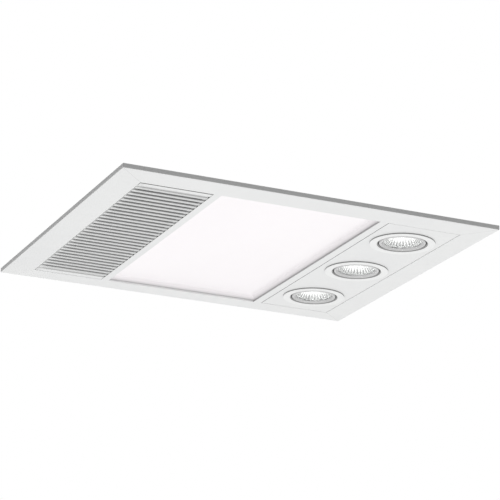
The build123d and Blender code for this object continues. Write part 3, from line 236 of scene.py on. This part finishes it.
def fascia_white():
    """The fascia's white with painted shade along the mitres of its sloping rims."""
    finish = moulded("fascia_white", WHITE, WHITE_SHADE, 0.4)
    # Painted shade: a thin darker line along the mitres where the sloping rims meet
    along = finish.sum("ABSOLUTE", finish.axis(0))
    across = finish.sum("ABSOLUTE", finish.axis(1))
    offset = (FASCIA_LENGTH - FASCIA_WIDTH) / 2 * MM
    skew = finish.sum("SUBTRACT", finish.sum("SUBTRACT", along, across), offset)
    mitre_shade = finish.ramp(finish.sum("ABSOLUTE", skew), 1, 0, 0.2 * MM, 0.5 * MM)
    rim = finish.ramp(along, 0, 1, 0.40 * FASCIA_LENGTH * MM, 0.41 * FASCIA_LENGTH * MM)
    finish.tint(finish.sum("MULTIPLY", mitre_shade, rim), grey(0.60), 0, 1)

    # The bar's wall is in deep shade at the end of each slot of the grille
    share = finish.sum("DIVIDE", finish.axis(1), SLOT_PITCH * MM)
    fold = finish.sum("PINGPONG", share, 0.5)
    slot = finish.ramp(fold, 1, 0, 0.9 * SLOT_HALF / SLOT_PITCH, 1.1 * SLOT_HALF / SLOT_PITCH)
    side = finish.sum("ABSOLUTE", finish.sum("SUBTRACT", finish.axis(0), BAR_X * MM))
    wall = finish.sum("MULTIPLY", slot, finish.ramp(side, 1, 0, 0.1 * MM, 0.4 * MM))
    above = finish.ramp(finish.axis(2), 0, 1, (FACE_Z + 0.1) * MM, (FACE_Z + 0.4) * MM)
    wall = finish.sum("MULTIPLY", wall, above)
    wall = finish.sum("MULTIPLY", wall, finish.ramp(across, 1, 0, FIELD_Y * MM, (FIELD_Y + 1) * MM))
    finish.tint(wall, grey(0.03), 0, 1)

    # So is the wall of the panel's opening, less so
    side = finish.sum("ABSOLUTE", finish.sum("SUBTRACT", finish.axis(0), PANEL_X1 * MM))
    wall = finish.sum("MULTIPLY", above, finish.ramp(side, 1, 0, 0.1 * MM, 0.4 * MM))
    wall = finish.sum("MULTIPLY", wall, finish.ramp(across, 1, 0, PANEL_Y * MM, (PANEL_Y + 1) * MM))
    return finish.tint(wall, grey(0.40), 0, 1)


def grille_white():
    """The grille's white with painted shade, darker over the slotted field and the deeper it lies
    between the slats.
    """
    finish = moulded("grille_white", WHITE, WHITE_SHADE, 0.42)
    # Painted shade: the slotted field darker than the rest, and darker still with depth between the
    # slats
    field = finish.sum("ABSOLUTE", finish.axis(1))
    finish.tint(field, (0.64, 0.645, 0.64), (FIELD_Y + 0.1) * MM, (FIELD_Y - 0.1) * MM)
    height = finish.axis(2)
    back = FACE_Z + SLAT_DEPTH
    finish.tint(height, grey(0.57), (FACE_Z + 0.3) * MM, back * MM)
    finish.tint(height, grey(0.36), (back - 0.1) * MM, (back + 0.3) * MM)
    # Painted light: the slots lighter towards their left ends
    end = finish.ramp(finish.axis(0), 0.85, 0, (GRILLE_X0 + 4.0) * MM, (GRILLE_X0 + 8.0) * MM)
    finish.tint(end, (0.72, 0.725, 0.72), 0, 1)
    # Painted shade: a dark line along the grille's near edge
    near = finish.axis(1)
    return finish.tint(near, grey(0.20), (GRILLE_Y0 + 0.6) * MM, (GRILLE_Y0 + 0.35) * MM)


def plate_white():
    """The lamp plate's white, in deep shade on the edge that stands beside the bar."""
    finish = moulded("plate_white", WHITE, WHITE_SHADE, 0.42)
    return finish.tint(
        finish.axis(0), grey(0.22), (PLATE_X0 + 0.15) * MM, (PLATE_X0 + 0.05) * MM
    )


def trim_white():
    """Painted trim ring, white in front, with painted shade on its edge and inside its sleeve."""
    finish = enamel("trim_white", (0.86, 0.865, 0.86), (0.84, 0.845, 0.84), 0.32)
    front = PIVOT_Z + TRIM_FRONT
    return finish.tint(finish.axis(2), grey(0.27), (front + 0.05) * MM, (front + 0.35) * MM)


def sheet_steel(name, colour, shade, roughness, spangle):
    """Zinc-coated sheet: crystals of slightly different shine, rolling lines and dull smears."""
    finish = Finish(name, colour, roughness, 1.0)
    large, small = finish.cells(spangle), finish.cells(3.1 * spangle)
    crystal = finish.sum("ADD", finish.sum("MULTIPLY", large, 0.65), finish.sum("MULTIPLY", small, 0.35))
    finish.tint(crystal, shade, 0, 1)
    finish.tint(finish.noise(5, 4), tuple(0.86 * part for part in shade), 0.45, 0.75)
    finish.tint(finish.noise(420, 2, (1, 0.02, 1)), tuple(0.93 * part for part in shade), 0.5, 0.8)
    finish.rough(large, roughness - 0.07, roughness + 0.08)
    finish.bump(finish.noise(14, 1), 0.0004, 0.3)
    return finish.bump(finish.noise(900, 2), 0.000005)


def worked_metal(name, colour, shade, roughness, stretch, metallic=1.0):
    """Metal with fine drawn or ground lines along one direction."""
    finish = Finish(name, colour, roughness, metallic)
    lines = finish.noise(500, 2, stretch)
    finish.tint(lines, shade)
    finish.rough(lines, roughness - 0.06, roughness + 0.1)
    return finish.bump(lines, 0.000008)


def enamel(name, colour, shade, roughness):
    """Powder coat: a fine orange-peel surface over metal."""
    finish = Finish(name, colour, roughness)
    finish.tint(finish.noise(12), shade)
    finish.rough(finish.noise(80), roughness - 0.03, roughness + 0.05)
    return finish.bump(finish.noise(520, 1), 0.000008)


def opal():
    """Opal sheet with a soft glow that fades towards the edges of the panel."""
    finish = moulded("opal_plastic", (0.90, 0.87, 0.885), (0.915, 0.885, 0.90), 0.32, 1800, 0.000003)
    finish.set("Emission Color", (1.0, 0.97, 0.985, 1))
    middle = (PANEL_X0 + PANEL_X1) / 2 * MM
    half = (PANEL_X1 - PANEL_X0) / 2 * MM
    along = finish.sum("ABSOLUTE", finish.sum("SUBTRACT", finish.axis(0), middle))
    across = finish.sum("ABSOLUTE", finish.axis(1))
    inset = finish.sum(
        "MINIMUM", finish.sum("SUBTRACT", half, along), finish.sum("SUBTRACT", PANEL_Y * MM, across)
    )
    glow = finish.ramp(inset, 0.0, 0.075, 4 * MM, 10 * MM)
    finish.link(glow, finish.shader.inputs["Emission Strength"])
    # Painted shade on the flared skirts round the panel, darker towards the opening
    finish.tint(finish.axis(2), (0.60, 0.59, 0.595), (FLOOR_Z - 2.2) * MM, (FLOOR_Z - 6) * MM)
    return finish.tint(finish.axis(2), grey(0.36), (FLOOR_Z - 5.2) * MM, (FLOOR_Z - 6) * MM)


def clear_glass():
    finish = Finish("clear_glass", (0.97, 0.985, 0.98), 0.03)
    finish.set("Transmission Weight", 1.0).set("IOR", 1.47)
    return finish.bump(finish.noise(160, 1), 0.00002, 0.4)


def bright_coat():
    """Mirror coat of a lamp's bowl: facets, painted shade lines between the flutes, and a painted glow
    of the lamp's light inside.

    Its map counts the flutes round the bowl, and its height is 0 at the mouth and 1 at the neck.
    """
    finish = Finish("bright_coat", (0.95, 0.945, 0.94), 0.2, 0.3)
    place = finish.tree.nodes.new("ShaderNodeUVMap").outputs[0]
    turn, height = finish.axis(0, place), finish.axis(1, place)

    # Each facet shines a little differently from its neighbours
    facet = finish.tree.nodes.new("ShaderNodeCombineXYZ")
    finish.link(finish.sum("ROUND", turn), facet.inputs[0])
    finish.link(finish.sum("FLOOR", finish.sum("MULTIPLY", height, 7.0)), facet.inputs[1])
    shine = finish.tree.nodes.new("ShaderNodeTexWhiteNoise")
    finish.link(facet.outputs[0], shine.inputs["Vector"])
    finish.tint(shine.outputs["Value"], (0.74, 0.735, 0.73), 0, 1)

    # Painted shade: dark lines between the flutes near the mouth, and grey ones higher up
    line = finish.ramp(finish.sum("PINGPONG", turn, 0.5), 1, 0, 0.12, 0.26)
    foot = finish.ramp(height, 0, 1, 0.01, 0.03)
    head = finish.ramp(height, 1, 0, 0.12, 0.26)
    dark = finish.sum("MULTIPLY", finish.sum("MULTIPLY", line, foot), head)
    shade = finish.sum("MULTIPLY", line, finish.ramp(height, 0.7, 0.05, 0.12, 0.3))
    finish.tint(shade, grey(0.5), 0, 1)
    finish.tint(dark, grey(0.03), 0, 1)
    # Painted shade: the coat darker towards the neck
    finish.tint(height, (0.60, 0.60, 0.595), 0.42, 0.62)
    # Painted glow: the lamp's light painted on the coat, fading towards the mouth and the neck, dimmer
    # in the grooves and on some facets
    finish.set("Emission Color", (1.0, 0.99, 0.98, 1))
    glow = finish.ramp(height, 0.0, 0.64, 0.02, 0.21)
    glow = finish.sum("MULTIPLY", glow, finish.ramp(height, 1, 0.04, 0.4, 0.55))
    grooves = finish.sum("MULTIPLY", line, finish.ramp(height, 1, 0.2, 0.16, 0.3))
    glow = finish.sum("MULTIPLY", glow, finish.ramp(grooves, 1, 0.35, 0, 1))
    glow = finish.sum("MULTIPLY", glow, finish.ramp(shine.outputs["Value"], 1, 0.7, 0, 1))
    finish.link(glow, finish.shader.inputs["Emission Strength"])
    return finish.rough(finish.noise(300), 0.14, 0.28)


def lit_glass():
    """The capsule's glass with the lamp burning inside it."""
    finish = Finish("lit_glass", (0.95, 0.95, 0.94), 0.2)
    finish.set("Emission Color", (1.0, 0.985, 0.95, 1))
    glow = finish.ramp(finish.noise(300), 0.65, 0.95)
    finish.link(glow, finish.shader.inputs["Emission Strength"])
    return finish


def bowl_glass():
    """Pressed glass of the lamp's outside, frosted by its coat."""
    finish = Finish("reflector_glass", (0.78, 0.78, 0.77), 0.25)
    finish.tint(finish.noise(220), (0.70, 0.70, 0.69))
    finish.rough(finish.noise(300), 0.18, 0.34)
    return finish.bump(finish.noise(420, 1), 0.00002, 0.5)


FINISHES = {
    "white_plastic": moulded("white_plastic", WHITE, WHITE_SHADE, 0.42),
    "opal_plastic": opal(),
    "white_metal": enamel("white_metal", WHITE, WHITE_SHADE, 0.35),
    "lamp_ring_metal": enamel("lamp_ring_metal", grey(0.68), grey(0.64), 0.34),
    "zinc_steel": sheet_steel("zinc_steel", (0.70, 0.71, 0.72), (0.53, 0.54, 0.555), 0.34, 95),
    "spring_steel": worked_metal(
        "spring_steel", grey(0.78), (0.68, 0.68, 0.69), 0.3, (1, 1, 0.06)
    ),
    "screw_steel": worked_metal(
        "screw_steel", grey(0.62), (0.48, 0.48, 0.47), 0.32, (1, 1, 1)
    ),
    "shaft_steel": worked_metal(
        "shaft_steel", (0.60, 0.60, 0.61), (0.50, 0.50, 0.51), 0.2, (0.05, 1, 1)
    ),
    "clear_glass": clear_glass(),
    "reflector_glass": bowl_glass(),
    "ceramic": moulded("ceramic", (0.78, 0.75, 0.68), (0.72, 0.69, 0.62), 0.3, 700, 0.00002),
    "board_white": moulded("board_white", (0.80, 0.80, 0.76), (0.74, 0.74, 0.70), 0.5),
    "driver_plastic": moulded("driver_plastic", (0.76, 0.76, 0.75), (0.71, 0.71, 0.70), 0.5),
    "dark_plastic": moulded("dark_plastic", (0.045, 0.045, 0.05), (0.06, 0.06, 0.062), 0.48),
    "grey_plastic": moulded("grey_plastic", (0.20, 0.205, 0.21), (0.16, 0.165, 0.17), 0.45),
    "motor_enamel": enamel("motor_enamel", (0.035, 0.037, 0.04), (0.05, 0.05, 0.052), 0.34),
    "bare_aluminium": worked_metal(
        "bare_aluminium", (0.80, 0.81, 0.82), (0.70, 0.71, 0.72), 0.3, (1, 0.05, 1)
    ),
    "grey_rubber": moulded("grey_rubber", grey(0.06), grey(0.08), 0.7, 900),
}
FASCIA_WHITE = fascia_white()
GRILLE_WHITE = grille_white()
PLATE_WHITE = plate_white()
TRIM_WHITE = trim_white()
LIT_GLASS = lit_glass()
BRIGHT_COAT = bright_coat()
node_slot = {part["node"]: part["material_slot"] for part in frame["record"]["subparts"]}
node_body = {}
for body, members in frame["record"]["behaviour"]["bodies"].items():
    for member in members:
        node_body[member] = body
for name, node in nodes.items():
    node.data.materials.clear()
    node.data.materials.append(FINISHES[node_slot[name]].material)


# Making a piece: its mesh is closed, smooth where it is round and rides with its CAD node
def place_piece(shape, name, node, finish=None, bevel=0.0, smooth_angle=32, flat_area=300):
    slot = node_slot[node]
    flat_area = flat_area * MM * MM
    for edge in shape.edges:
        if len(edge.link_faces) == 2:
            curved = max(face.calc_area() for face in edge.link_faces) < flat_area
            edge.smooth = curved and edge.calc_face_angle(0) < radians(smooth_angle)
    for face in shape.faces:
        face.smooth = True
    mesh = bpy.data.meshes.new(name)
    shape.to_mesh(mesh)
    shape.free()
    piece = bpy.data.objects.new(name, mesh)
    scene.collection.objects.link(piece)
    piece.data.materials.append((finish or FINISHES[slot]).material)
    if bevel:
        rounding = piece.modifiers.new("rounding", "BEVEL")
        rounding.width = bevel * MM
        rounding.segments = 2
        rounding.limit_method = "ANGLE"
        rounding.angle_limit = radians(smooth_angle)
        rounding.harden_normals = True
    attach(piece, node_body[node])
    return piece


def own_shape(node):
    """The node's own mesh, joined up and with its flat faces whole."""
    shape = bmesh.new()
    shape.from_mesh(nodes[node].data)
    bmesh.ops.remove_doubles(shape, verts=shape.verts, dist=0.002 * MM)
    bmesh.ops.dissolve_limit(
        shape, angle_limit=radians(0.5), verts=shape.verts, edges=shape.edges
    )
    return shape


def soften(node, bevel, finish=None, flat_area=300):
    """The node's own shape with its edges rounded, as a moulding or a pressing has them."""
    shape = own_shape(node)
    piece = place_piece(shape, node + "_finished", node, finish, bevel, flat_area=flat_area)
    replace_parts(piece, node)


def turned(outline, steps, closed=True):
    """A ring or a disc spun from its outline of (radius, height), in millimetres."""
    shape = bmesh.new()
    corners = [shape.verts.new((radius * MM, 0, height * MM)) for radius, height in outline]
    lines = [shape.edges.new(pair) for pair in zip(corners, corners[1:])]
    if closed:
        lines.append(shape.edges.new((corners[-1], corners[0])))
    bmesh.ops.spin(
        shape, geom=corners + lines, cent=(0, 0, 0), axis=(0, 0, 1), angle=2 * pi,
        steps=steps, use_merge=True,
    )
    bmesh.ops.remove_doubles(shape, verts=shape.verts, dist=0.001 * MM)
    bmesh.ops.recalc_face_normals(shape, faces=shape.faces)
    return shape


def move(shape, x, y, z):
    bmesh.ops.translate(shape, verts=shape.verts, vec=(x * MM, y * MM, z * MM))


def build_trim(number, y):
    """Trim ring with a flared mouth in front of the sleeve that holds the tilting ring."""
    front = [(31, -2.9), (31.7, -3.3), (32.6, TRIM_FRONT), (41.65, TRIM_FRONT), (41.65, -2.6)]
    outline = front + [(33, -2.6), (33, 2.9), (31, 2.9)]
    shape = turned(outline, 128)
    move(shape, LAMP_X, y, PIVOT_Z)
    node = f"trim_ring_{number}"
    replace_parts(place_piece(shape, node + "_finished", node, TRIM_WHITE, bevel=0.12), node)


def build_gimbal(number, y):
    """Tilting ring: a ball's slice with a rolled front lip, a cone and a groove for the clip."""
    lip = [(27.6, -4.3), (28.5, -4.05), (29.2, -3.6), (29.68, -2.9)]
    ball = [(29.97, -1.5), (30, 0), (29.93, 2), (29.73, 4), (29.49, 5.5)]
    bore = [
        (23.5, 5.5), (23.5, 3.0), (25.4, 3.0), (25.4, -0.1), (25.9, -0.1), (25.9, -1.7), (25.4, -1.7),
    ]
    shape = turned(lip + ball + bore, 128)
    move(shape, LAMP_X, y, PIVOT_Z)
    node = f"gimbal_ring_{number}"
    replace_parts(place_piece(shape, node + "_finished", node, bevel=0.12), node)


def map_flutes(shape, low, high):
    """A map whose first number counts the flutes and whose second is the share of the height."""
    layer = shape.loops.layers.uv.new("flutes")
    for face in shape.faces:
        middle = face.calc_center_median()
        start = atan2(middle.y, middle.x)
        for loop in face.loops:
            spot = loop.vert.co
            turn = atan2(spot.y, spot.x) - start
            turn -= round(turn / (2 * pi)) * 2 * pi
            share = (spot.z / MM - low) / (high - low)
            loop[layer].uv = ((start + turn) / (2 * pi) * FLUTES, share)


def build_lamp(number, y):
    node = f"lamp_reflector_{number}"
    shell = [
        (22.0, 1.3), (24.0, 1.1), (24.0, -0.5), (25.0, -0.5), (25.0, 2.9), (23.1, 2.9), (22.4, 8.0),
        (21.0, 14.0), (18.6, 20.0), (15.6, 26.0), (11.5, 34.0), (11.5, 46.0), (0.0, 46.0), (0.0, 38.0),
        (5.0, 38.0), (5.0, 32.0), (11.0, 26.8), (15.1, 21.8), (18.1, 16.8), (20.2, 11.2), (21.4, 6.1),
    ]
    shape = turned(shell, 96)
    for side in (-PIN_SIDE, PIN_SIDE):
        pin = bmesh.ops.create_cone(
            shape, cap_ends=True, segments=24, radius1=PIN_FOOT * MM, radius2=PIN_TIP * MM,
            depth=PIN_LENGTH * MM,
        )
        bmesh.ops.translate(shape, verts=pin["verts"], vec=(side * MM, 0, PIN_Z * MM))
    move(shape, LAMP_X, y, PIVOT_Z)
    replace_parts(place_piece(shape, node + "_finished", node, smooth_angle=40), node)

    inside = [
        (5.2, BOWL_HIGH), (6.2, 27.5), (9.0, 22.5), (12.0, 17.0), (14.8, 12.0), (17.3, 7.5), (19.4, 4.0),
        (21.5, BOWL_LOW),
    ]
    outside = [
        (radius + BOWL_WALL, height + BOWL_WALL_RISE) for radius, height in reversed(inside)
    ]
    steps = 2 * FLUTES
    dish = turned(inside + outside, steps)
    for vert in dish.verts:
        turn = round(atan2(vert.co.y, vert.co.x) / (2 * pi / steps))
        if turn % 2 and FLUTE_LOW * MM < vert.co.z < BOWL_HIGH * MM:
            vert.co.x *= FLUTE_WAIST
            vert.co.y *= FLUTE_WAIST
    map_flutes(dish, BOWL_LOW, BOWL_HIGH)
    move(dish, LAMP_X, y, PIVOT_Z)
    place_piece(dish, f"lamp_bowl_{number}", node, BRIGHT_COAT, smooth_angle=12)

    lens = turned([(0, -1.1), (23.7, -1.1), (23.9, -0.9), (23.9, 1.1), (0, 1.1)], 96, False)
    move(lens, LAMP_X, y, PIVOT_Z)
    node = f"lamp_lens_{number}"
    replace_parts(place_piece(lens, node + "_finished", node), node)


def build_clip(number, y):
    """Round wire bent round the lens, open at the far side, with both ends turned in."""
    shape = bmesh.new()
    wire = bmesh.ops.create_circle(
        shape, cap_ends=False, radius=CLIP_WIRE * MM, segments=12
    )["verts"]
    bmesh.ops.rotate(shape, verts=wire, cent=(0, 0, 0), matrix=Matrix.Rotation(pi / 2, 3, "X"))
    bmesh.ops.translate(shape, verts=wire, vec=(CLIP_RADIUS * MM, 0, CLIP_Z * MM))
    start = Matrix.Rotation(radians(CLIP_START), 3, "Z")
    bmesh.ops.rotate(shape, verts=wire, cent=(0, 0, 0), matrix=start)
    loop = shape.edges[:]
    swept = bmesh.ops.spin(
        shape, geom=wire + loop, cent=(0, 0, 0), axis=(0, 0, 1), angle=radians(CLIP_TURN),
        steps=CLIP_STEPS,
    )
    last = [item for item in swept["geom_last"] if isinstance(item, bmesh.types.BMEdge)]
    for edges, angle in ((loop, CLIP_START), (last, CLIP_START + CLIP_TURN)):
        across = Vector((cos(radians(angle)), sin(radians(angle)), 0))
        turn = Matrix.Rotation(pi / 2 if edges is loop else -pi / 2, 3, "Z")
        grown = bmesh.ops.extrude_edge_only(shape, edges=edges)["geom"]
        tip = [item for item in grown if isinstance(item, bmesh.types.BMVert)]
        hub = across * CLIP_RADIUS * MM + Vector((0, 0, CLIP_Z * MM))
        bmesh.ops.rotate(shape, verts=tip, cent=hub, matrix=turn)
        bmesh.ops.translate(shape, verts=tip, vec=-across * CLIP_TIP * MM)
    bmesh.ops.holes_fill(shape, edges=shape.edges, sides=0)
    bmesh.ops.recalc_face_normals(shape, faces=shape.faces)
    move(shape, LAMP_X, y, PIVOT_Z)
    node = f"lamp_clip_{number}"
    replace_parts(place_piece(shape, node + "_finished", node, smooth_angle=50), node)


for number, y in ((1, -LAMP_STEP), (2, 0.0), (3, LAMP_STEP)):
    nodes[f"lamp_capsule_{number}"].data.materials[0] = LIT_GLASS.material
    build_trim(number, y)
    build_gimbal(number, y)
    build_lamp(number, y)
    build_clip(number, y)

soften("fascia_frame", 0.2, FASCIA_WHITE)
soften("heater_grille", 0.0, GRILLE_WHITE)
soften("lamp_plate", 0.15, PLATE_WHITE)
soften("light_diffuser", 0.3)


# The hidden side: the steel box with lapped corners, its flange, the spigot and the gland
def press_beads(shape):
    """Presses a ring of shallow stiffening bead into the roof, a little inside its edge."""
    for step in (BEAD_INSET + share * BEAD_WIDTH for share in (0, 0.2, 0.4, 0.6, 0.8, 1)):
        for axis, half in (((1, 0, 0), BOX_X), ((0, 1, 0), BOX_Y)):
            for side in (-1, 1):
                bmesh.ops.bisect_plane(
                    shape, geom=shape.verts[:] + shape.edges[:] + shape.faces[:], dist=0.001 * MM,
                    plane_co=Vector(axis) * side * (half - step) * MM, plane_no=axis,
                )
    for vert in shape.verts:
        inset = min(BOX_X - abs(vert.co.x) / MM, BOX_Y - abs(vert.co.y) / MM)
        share = (inset - BEAD_INSET) / BEAD_WIDTH
        if vert.co.z > (BOX_TOP - 2) * MM and 0 < share < 1:
            vert.co.z -= BEAD_DEPTH * sin(pi * share) ** 2 * MM


def build_box():
    shape = own_shape("housing_box")
    press_beads(shape)
    piece = place_piece(shape, "housing_box_finished", "housing_box", bevel=0.4)
    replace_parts(piece, "housing_box")


def build_laps():
    """Corner laps of the folded box, each held by a row of spot welds."""
    shape = bmesh.new()
    for side_x in (-1, 1):
        for side_y in (-1, 1):
            lap = bmesh.ops.create_cube(shape, size=1)["verts"]
            size = (LAP_WIDTH * MM, LAP_SHEET * MM, (BOX_TOP - LAP_END_GAP) * MM)
            bmesh.ops.scale(shape, vec=size, verts=lap)
            x = side_x * (BOX_X - LAP_WIDTH / 2 - LAP_EDGE_GAP)
            y, z = side_y * (BOX_Y + LAP_SHEET / 2), BOX_TOP / 2 + LAP_LIFT
            bmesh.ops.translate(shape, verts=lap, vec=(x * MM, y * MM, z * MM))
            for step in range(LAP_WELDS):
                height = WELD_END + (BOX_TOP - 2 * WELD_END) * step / (LAP_WELDS - 1)
                weld = bmesh.ops.create_cone(
                    shape, cap_ends=True, segments=20, radius1=WELD_FOOT * MM,
                    radius2=WELD_TOP * MM, depth=WELD_HEIGHT * MM,
                    matrix=Matrix.Rotation(-side_y * pi / 2, 4, "X"),
                )["verts"]
                out = side_y * (BOX_Y + LAP_SHEET + WELD_SEAT)
                bmesh.ops.translate(shape, verts=weld, vec=(x * MM, out * MM, height * MM))
    bmesh.ops.recalc_face_normals(shape, faces=shape.faces)
    place_piece(shape, "housing_laps", "housing_box", bevel=0.15, flat_area=60)


build_box()
build_laps()
for name, bevel in (
    ("ceiling_flange", 0.2), ("spigot_plate", 0.25), ("duct_spigot", 0.15), ("backdraft_flap", 0.15),
    ("spigot_rivets", 0.0), ("flap_pin", 0.0), ("cable_gland", 0.15), ("gland_nut", 0.25),
):
    soften(name, bevel, flat_area=1200)


# The room: a white ceiling round the unit, a broad soft light from below and two above
def background_rays(tree):
    """1 for the rays that show the background: the camera's, reflections and through glass."""
    ray = tree.nodes.new("ShaderNodeLightPath")
    seen = ray.outputs["Is Camera Ray"]
    for name in ("Is Glossy Ray", "Is Transmission Ray"):
        larger = tree.nodes.new("ShaderNodeMath")
        larger.operation = "MAXIMUM"
        tree.links.new(seen, larger.inputs[0])
        tree.links.new(ray.outputs[name], larger.inputs[1])
        seen = larger.outputs[0]
    return seen


def ceiling_paint():
    """White where it is the background, and a dull board to every other ray."""
    finish = Finish("ceiling_paint", grey(0.12), 0.9)
    glow = finish.tree.nodes.new("ShaderNodeEmission")
    mix = finish.tree.nodes.new("ShaderNodeMixShader")
    finish.link(background_rays(finish.tree), mix.inputs["Fac"])
    finish.link(finish.shader.outputs[0], mix.inputs[1])
    finish.link(glow.outputs[0], mix.inputs[2])
    finish.link(mix.outputs[0], finish.tree.nodes["Material Output"].inputs["Surface"])
    return finish.material


def build_ceiling(name, height, gap, paint):
    """One face of the ceiling board, with a cut-out that leaves a gap round the housing."""
    shape = bmesh.new()
    bmesh.ops.create_grid(shape, x_segments=1, y_segments=1, size=1)
    half = ((BOX_X + gap) * MM, (BOX_Y + gap) * MM, 1)
    bmesh.ops.scale(shape, vec=half, verts=shape.verts)
    inner = shape.faces[:]
    grown = bmesh.ops.extrude_edge_only(shape, edges=shape.edges[:])
    outer = [item for item in grown["geom"] if isinstance(item, bmesh.types.BMVert)]
    bmesh.ops.scale(shape, vec=CEILING_SPREAD, verts=outer)
    bmesh.ops.delete(shape, geom=inner, context="FACES_ONLY")
    move(shape, 0, 0, height)
    mesh = bpy.data.meshes.new(name)
    shape.to_mesh(mesh)
    shape.free()
    board = bpy.data.objects.new(name, mesh)
    scene.collection.objects.link(board)
    board.data.materials.append(paint)


def light_the_room():
    world = bpy.data.worlds.new("room")
    scene.world = world
    world.use_nodes = True
    parts, links = world.node_tree.nodes, world.node_tree.links
    room, white = parts["Background"], parts.new("ShaderNodeBackground")
    for background, level in ((room, ROOM_LEVEL), (white, WHITE_LEVEL)):
        background.inputs["Color"].default_value = (1, 1, 1, 1)
        background.inputs["Strength"].default_value = level
    mix = parts.new("ShaderNodeMixShader")
    links.new(background_rays(world.node_tree), mix.inputs["Fac"])
    links.new(room.outputs[0], mix.inputs[1])
    links.new(white.outputs[0], mix.inputs[2])
    links.new(mix.outputs[0], parts["World Output"].inputs["Surface"])
    for name, place, width, power in (
        ("floor_bounce", (-0.05, -0.25, -2.0), 1.1, 22),
        ("loft_lamp", (-1.4, -1.8, 2.4), 2.4, 62),
        ("loft_window", (-1.2, -1.5, 2.6), 1.6, 8),
    ):
        lamp = bpy.data.lights.new(name, "AREA")
        lamp.size = width
        lamp.energy = power
        holder = bpy.data.objects.new(name, lamp)
        holder.visible_glossy = name == "loft_window"  # the others leave no bright patch in paint
        turn = (-Vector(place)).to_track_quat("-Z", "Y").to_matrix().to_4x4()
        holder.matrix_world = Matrix.Translation(place) @ turn
        scene.collection.objects.link(holder)


card = enamel("ceiling_card", (0.82, 0.82, 0.81), (0.80, 0.80, 0.79), 0.9)
build_ceiling("ceiling", CEILING_Z, CEILING_GAP, ceiling_paint())
build_ceiling("ceiling_back", BACK_Z, BACK_GAP, card.material)
light_the_room()
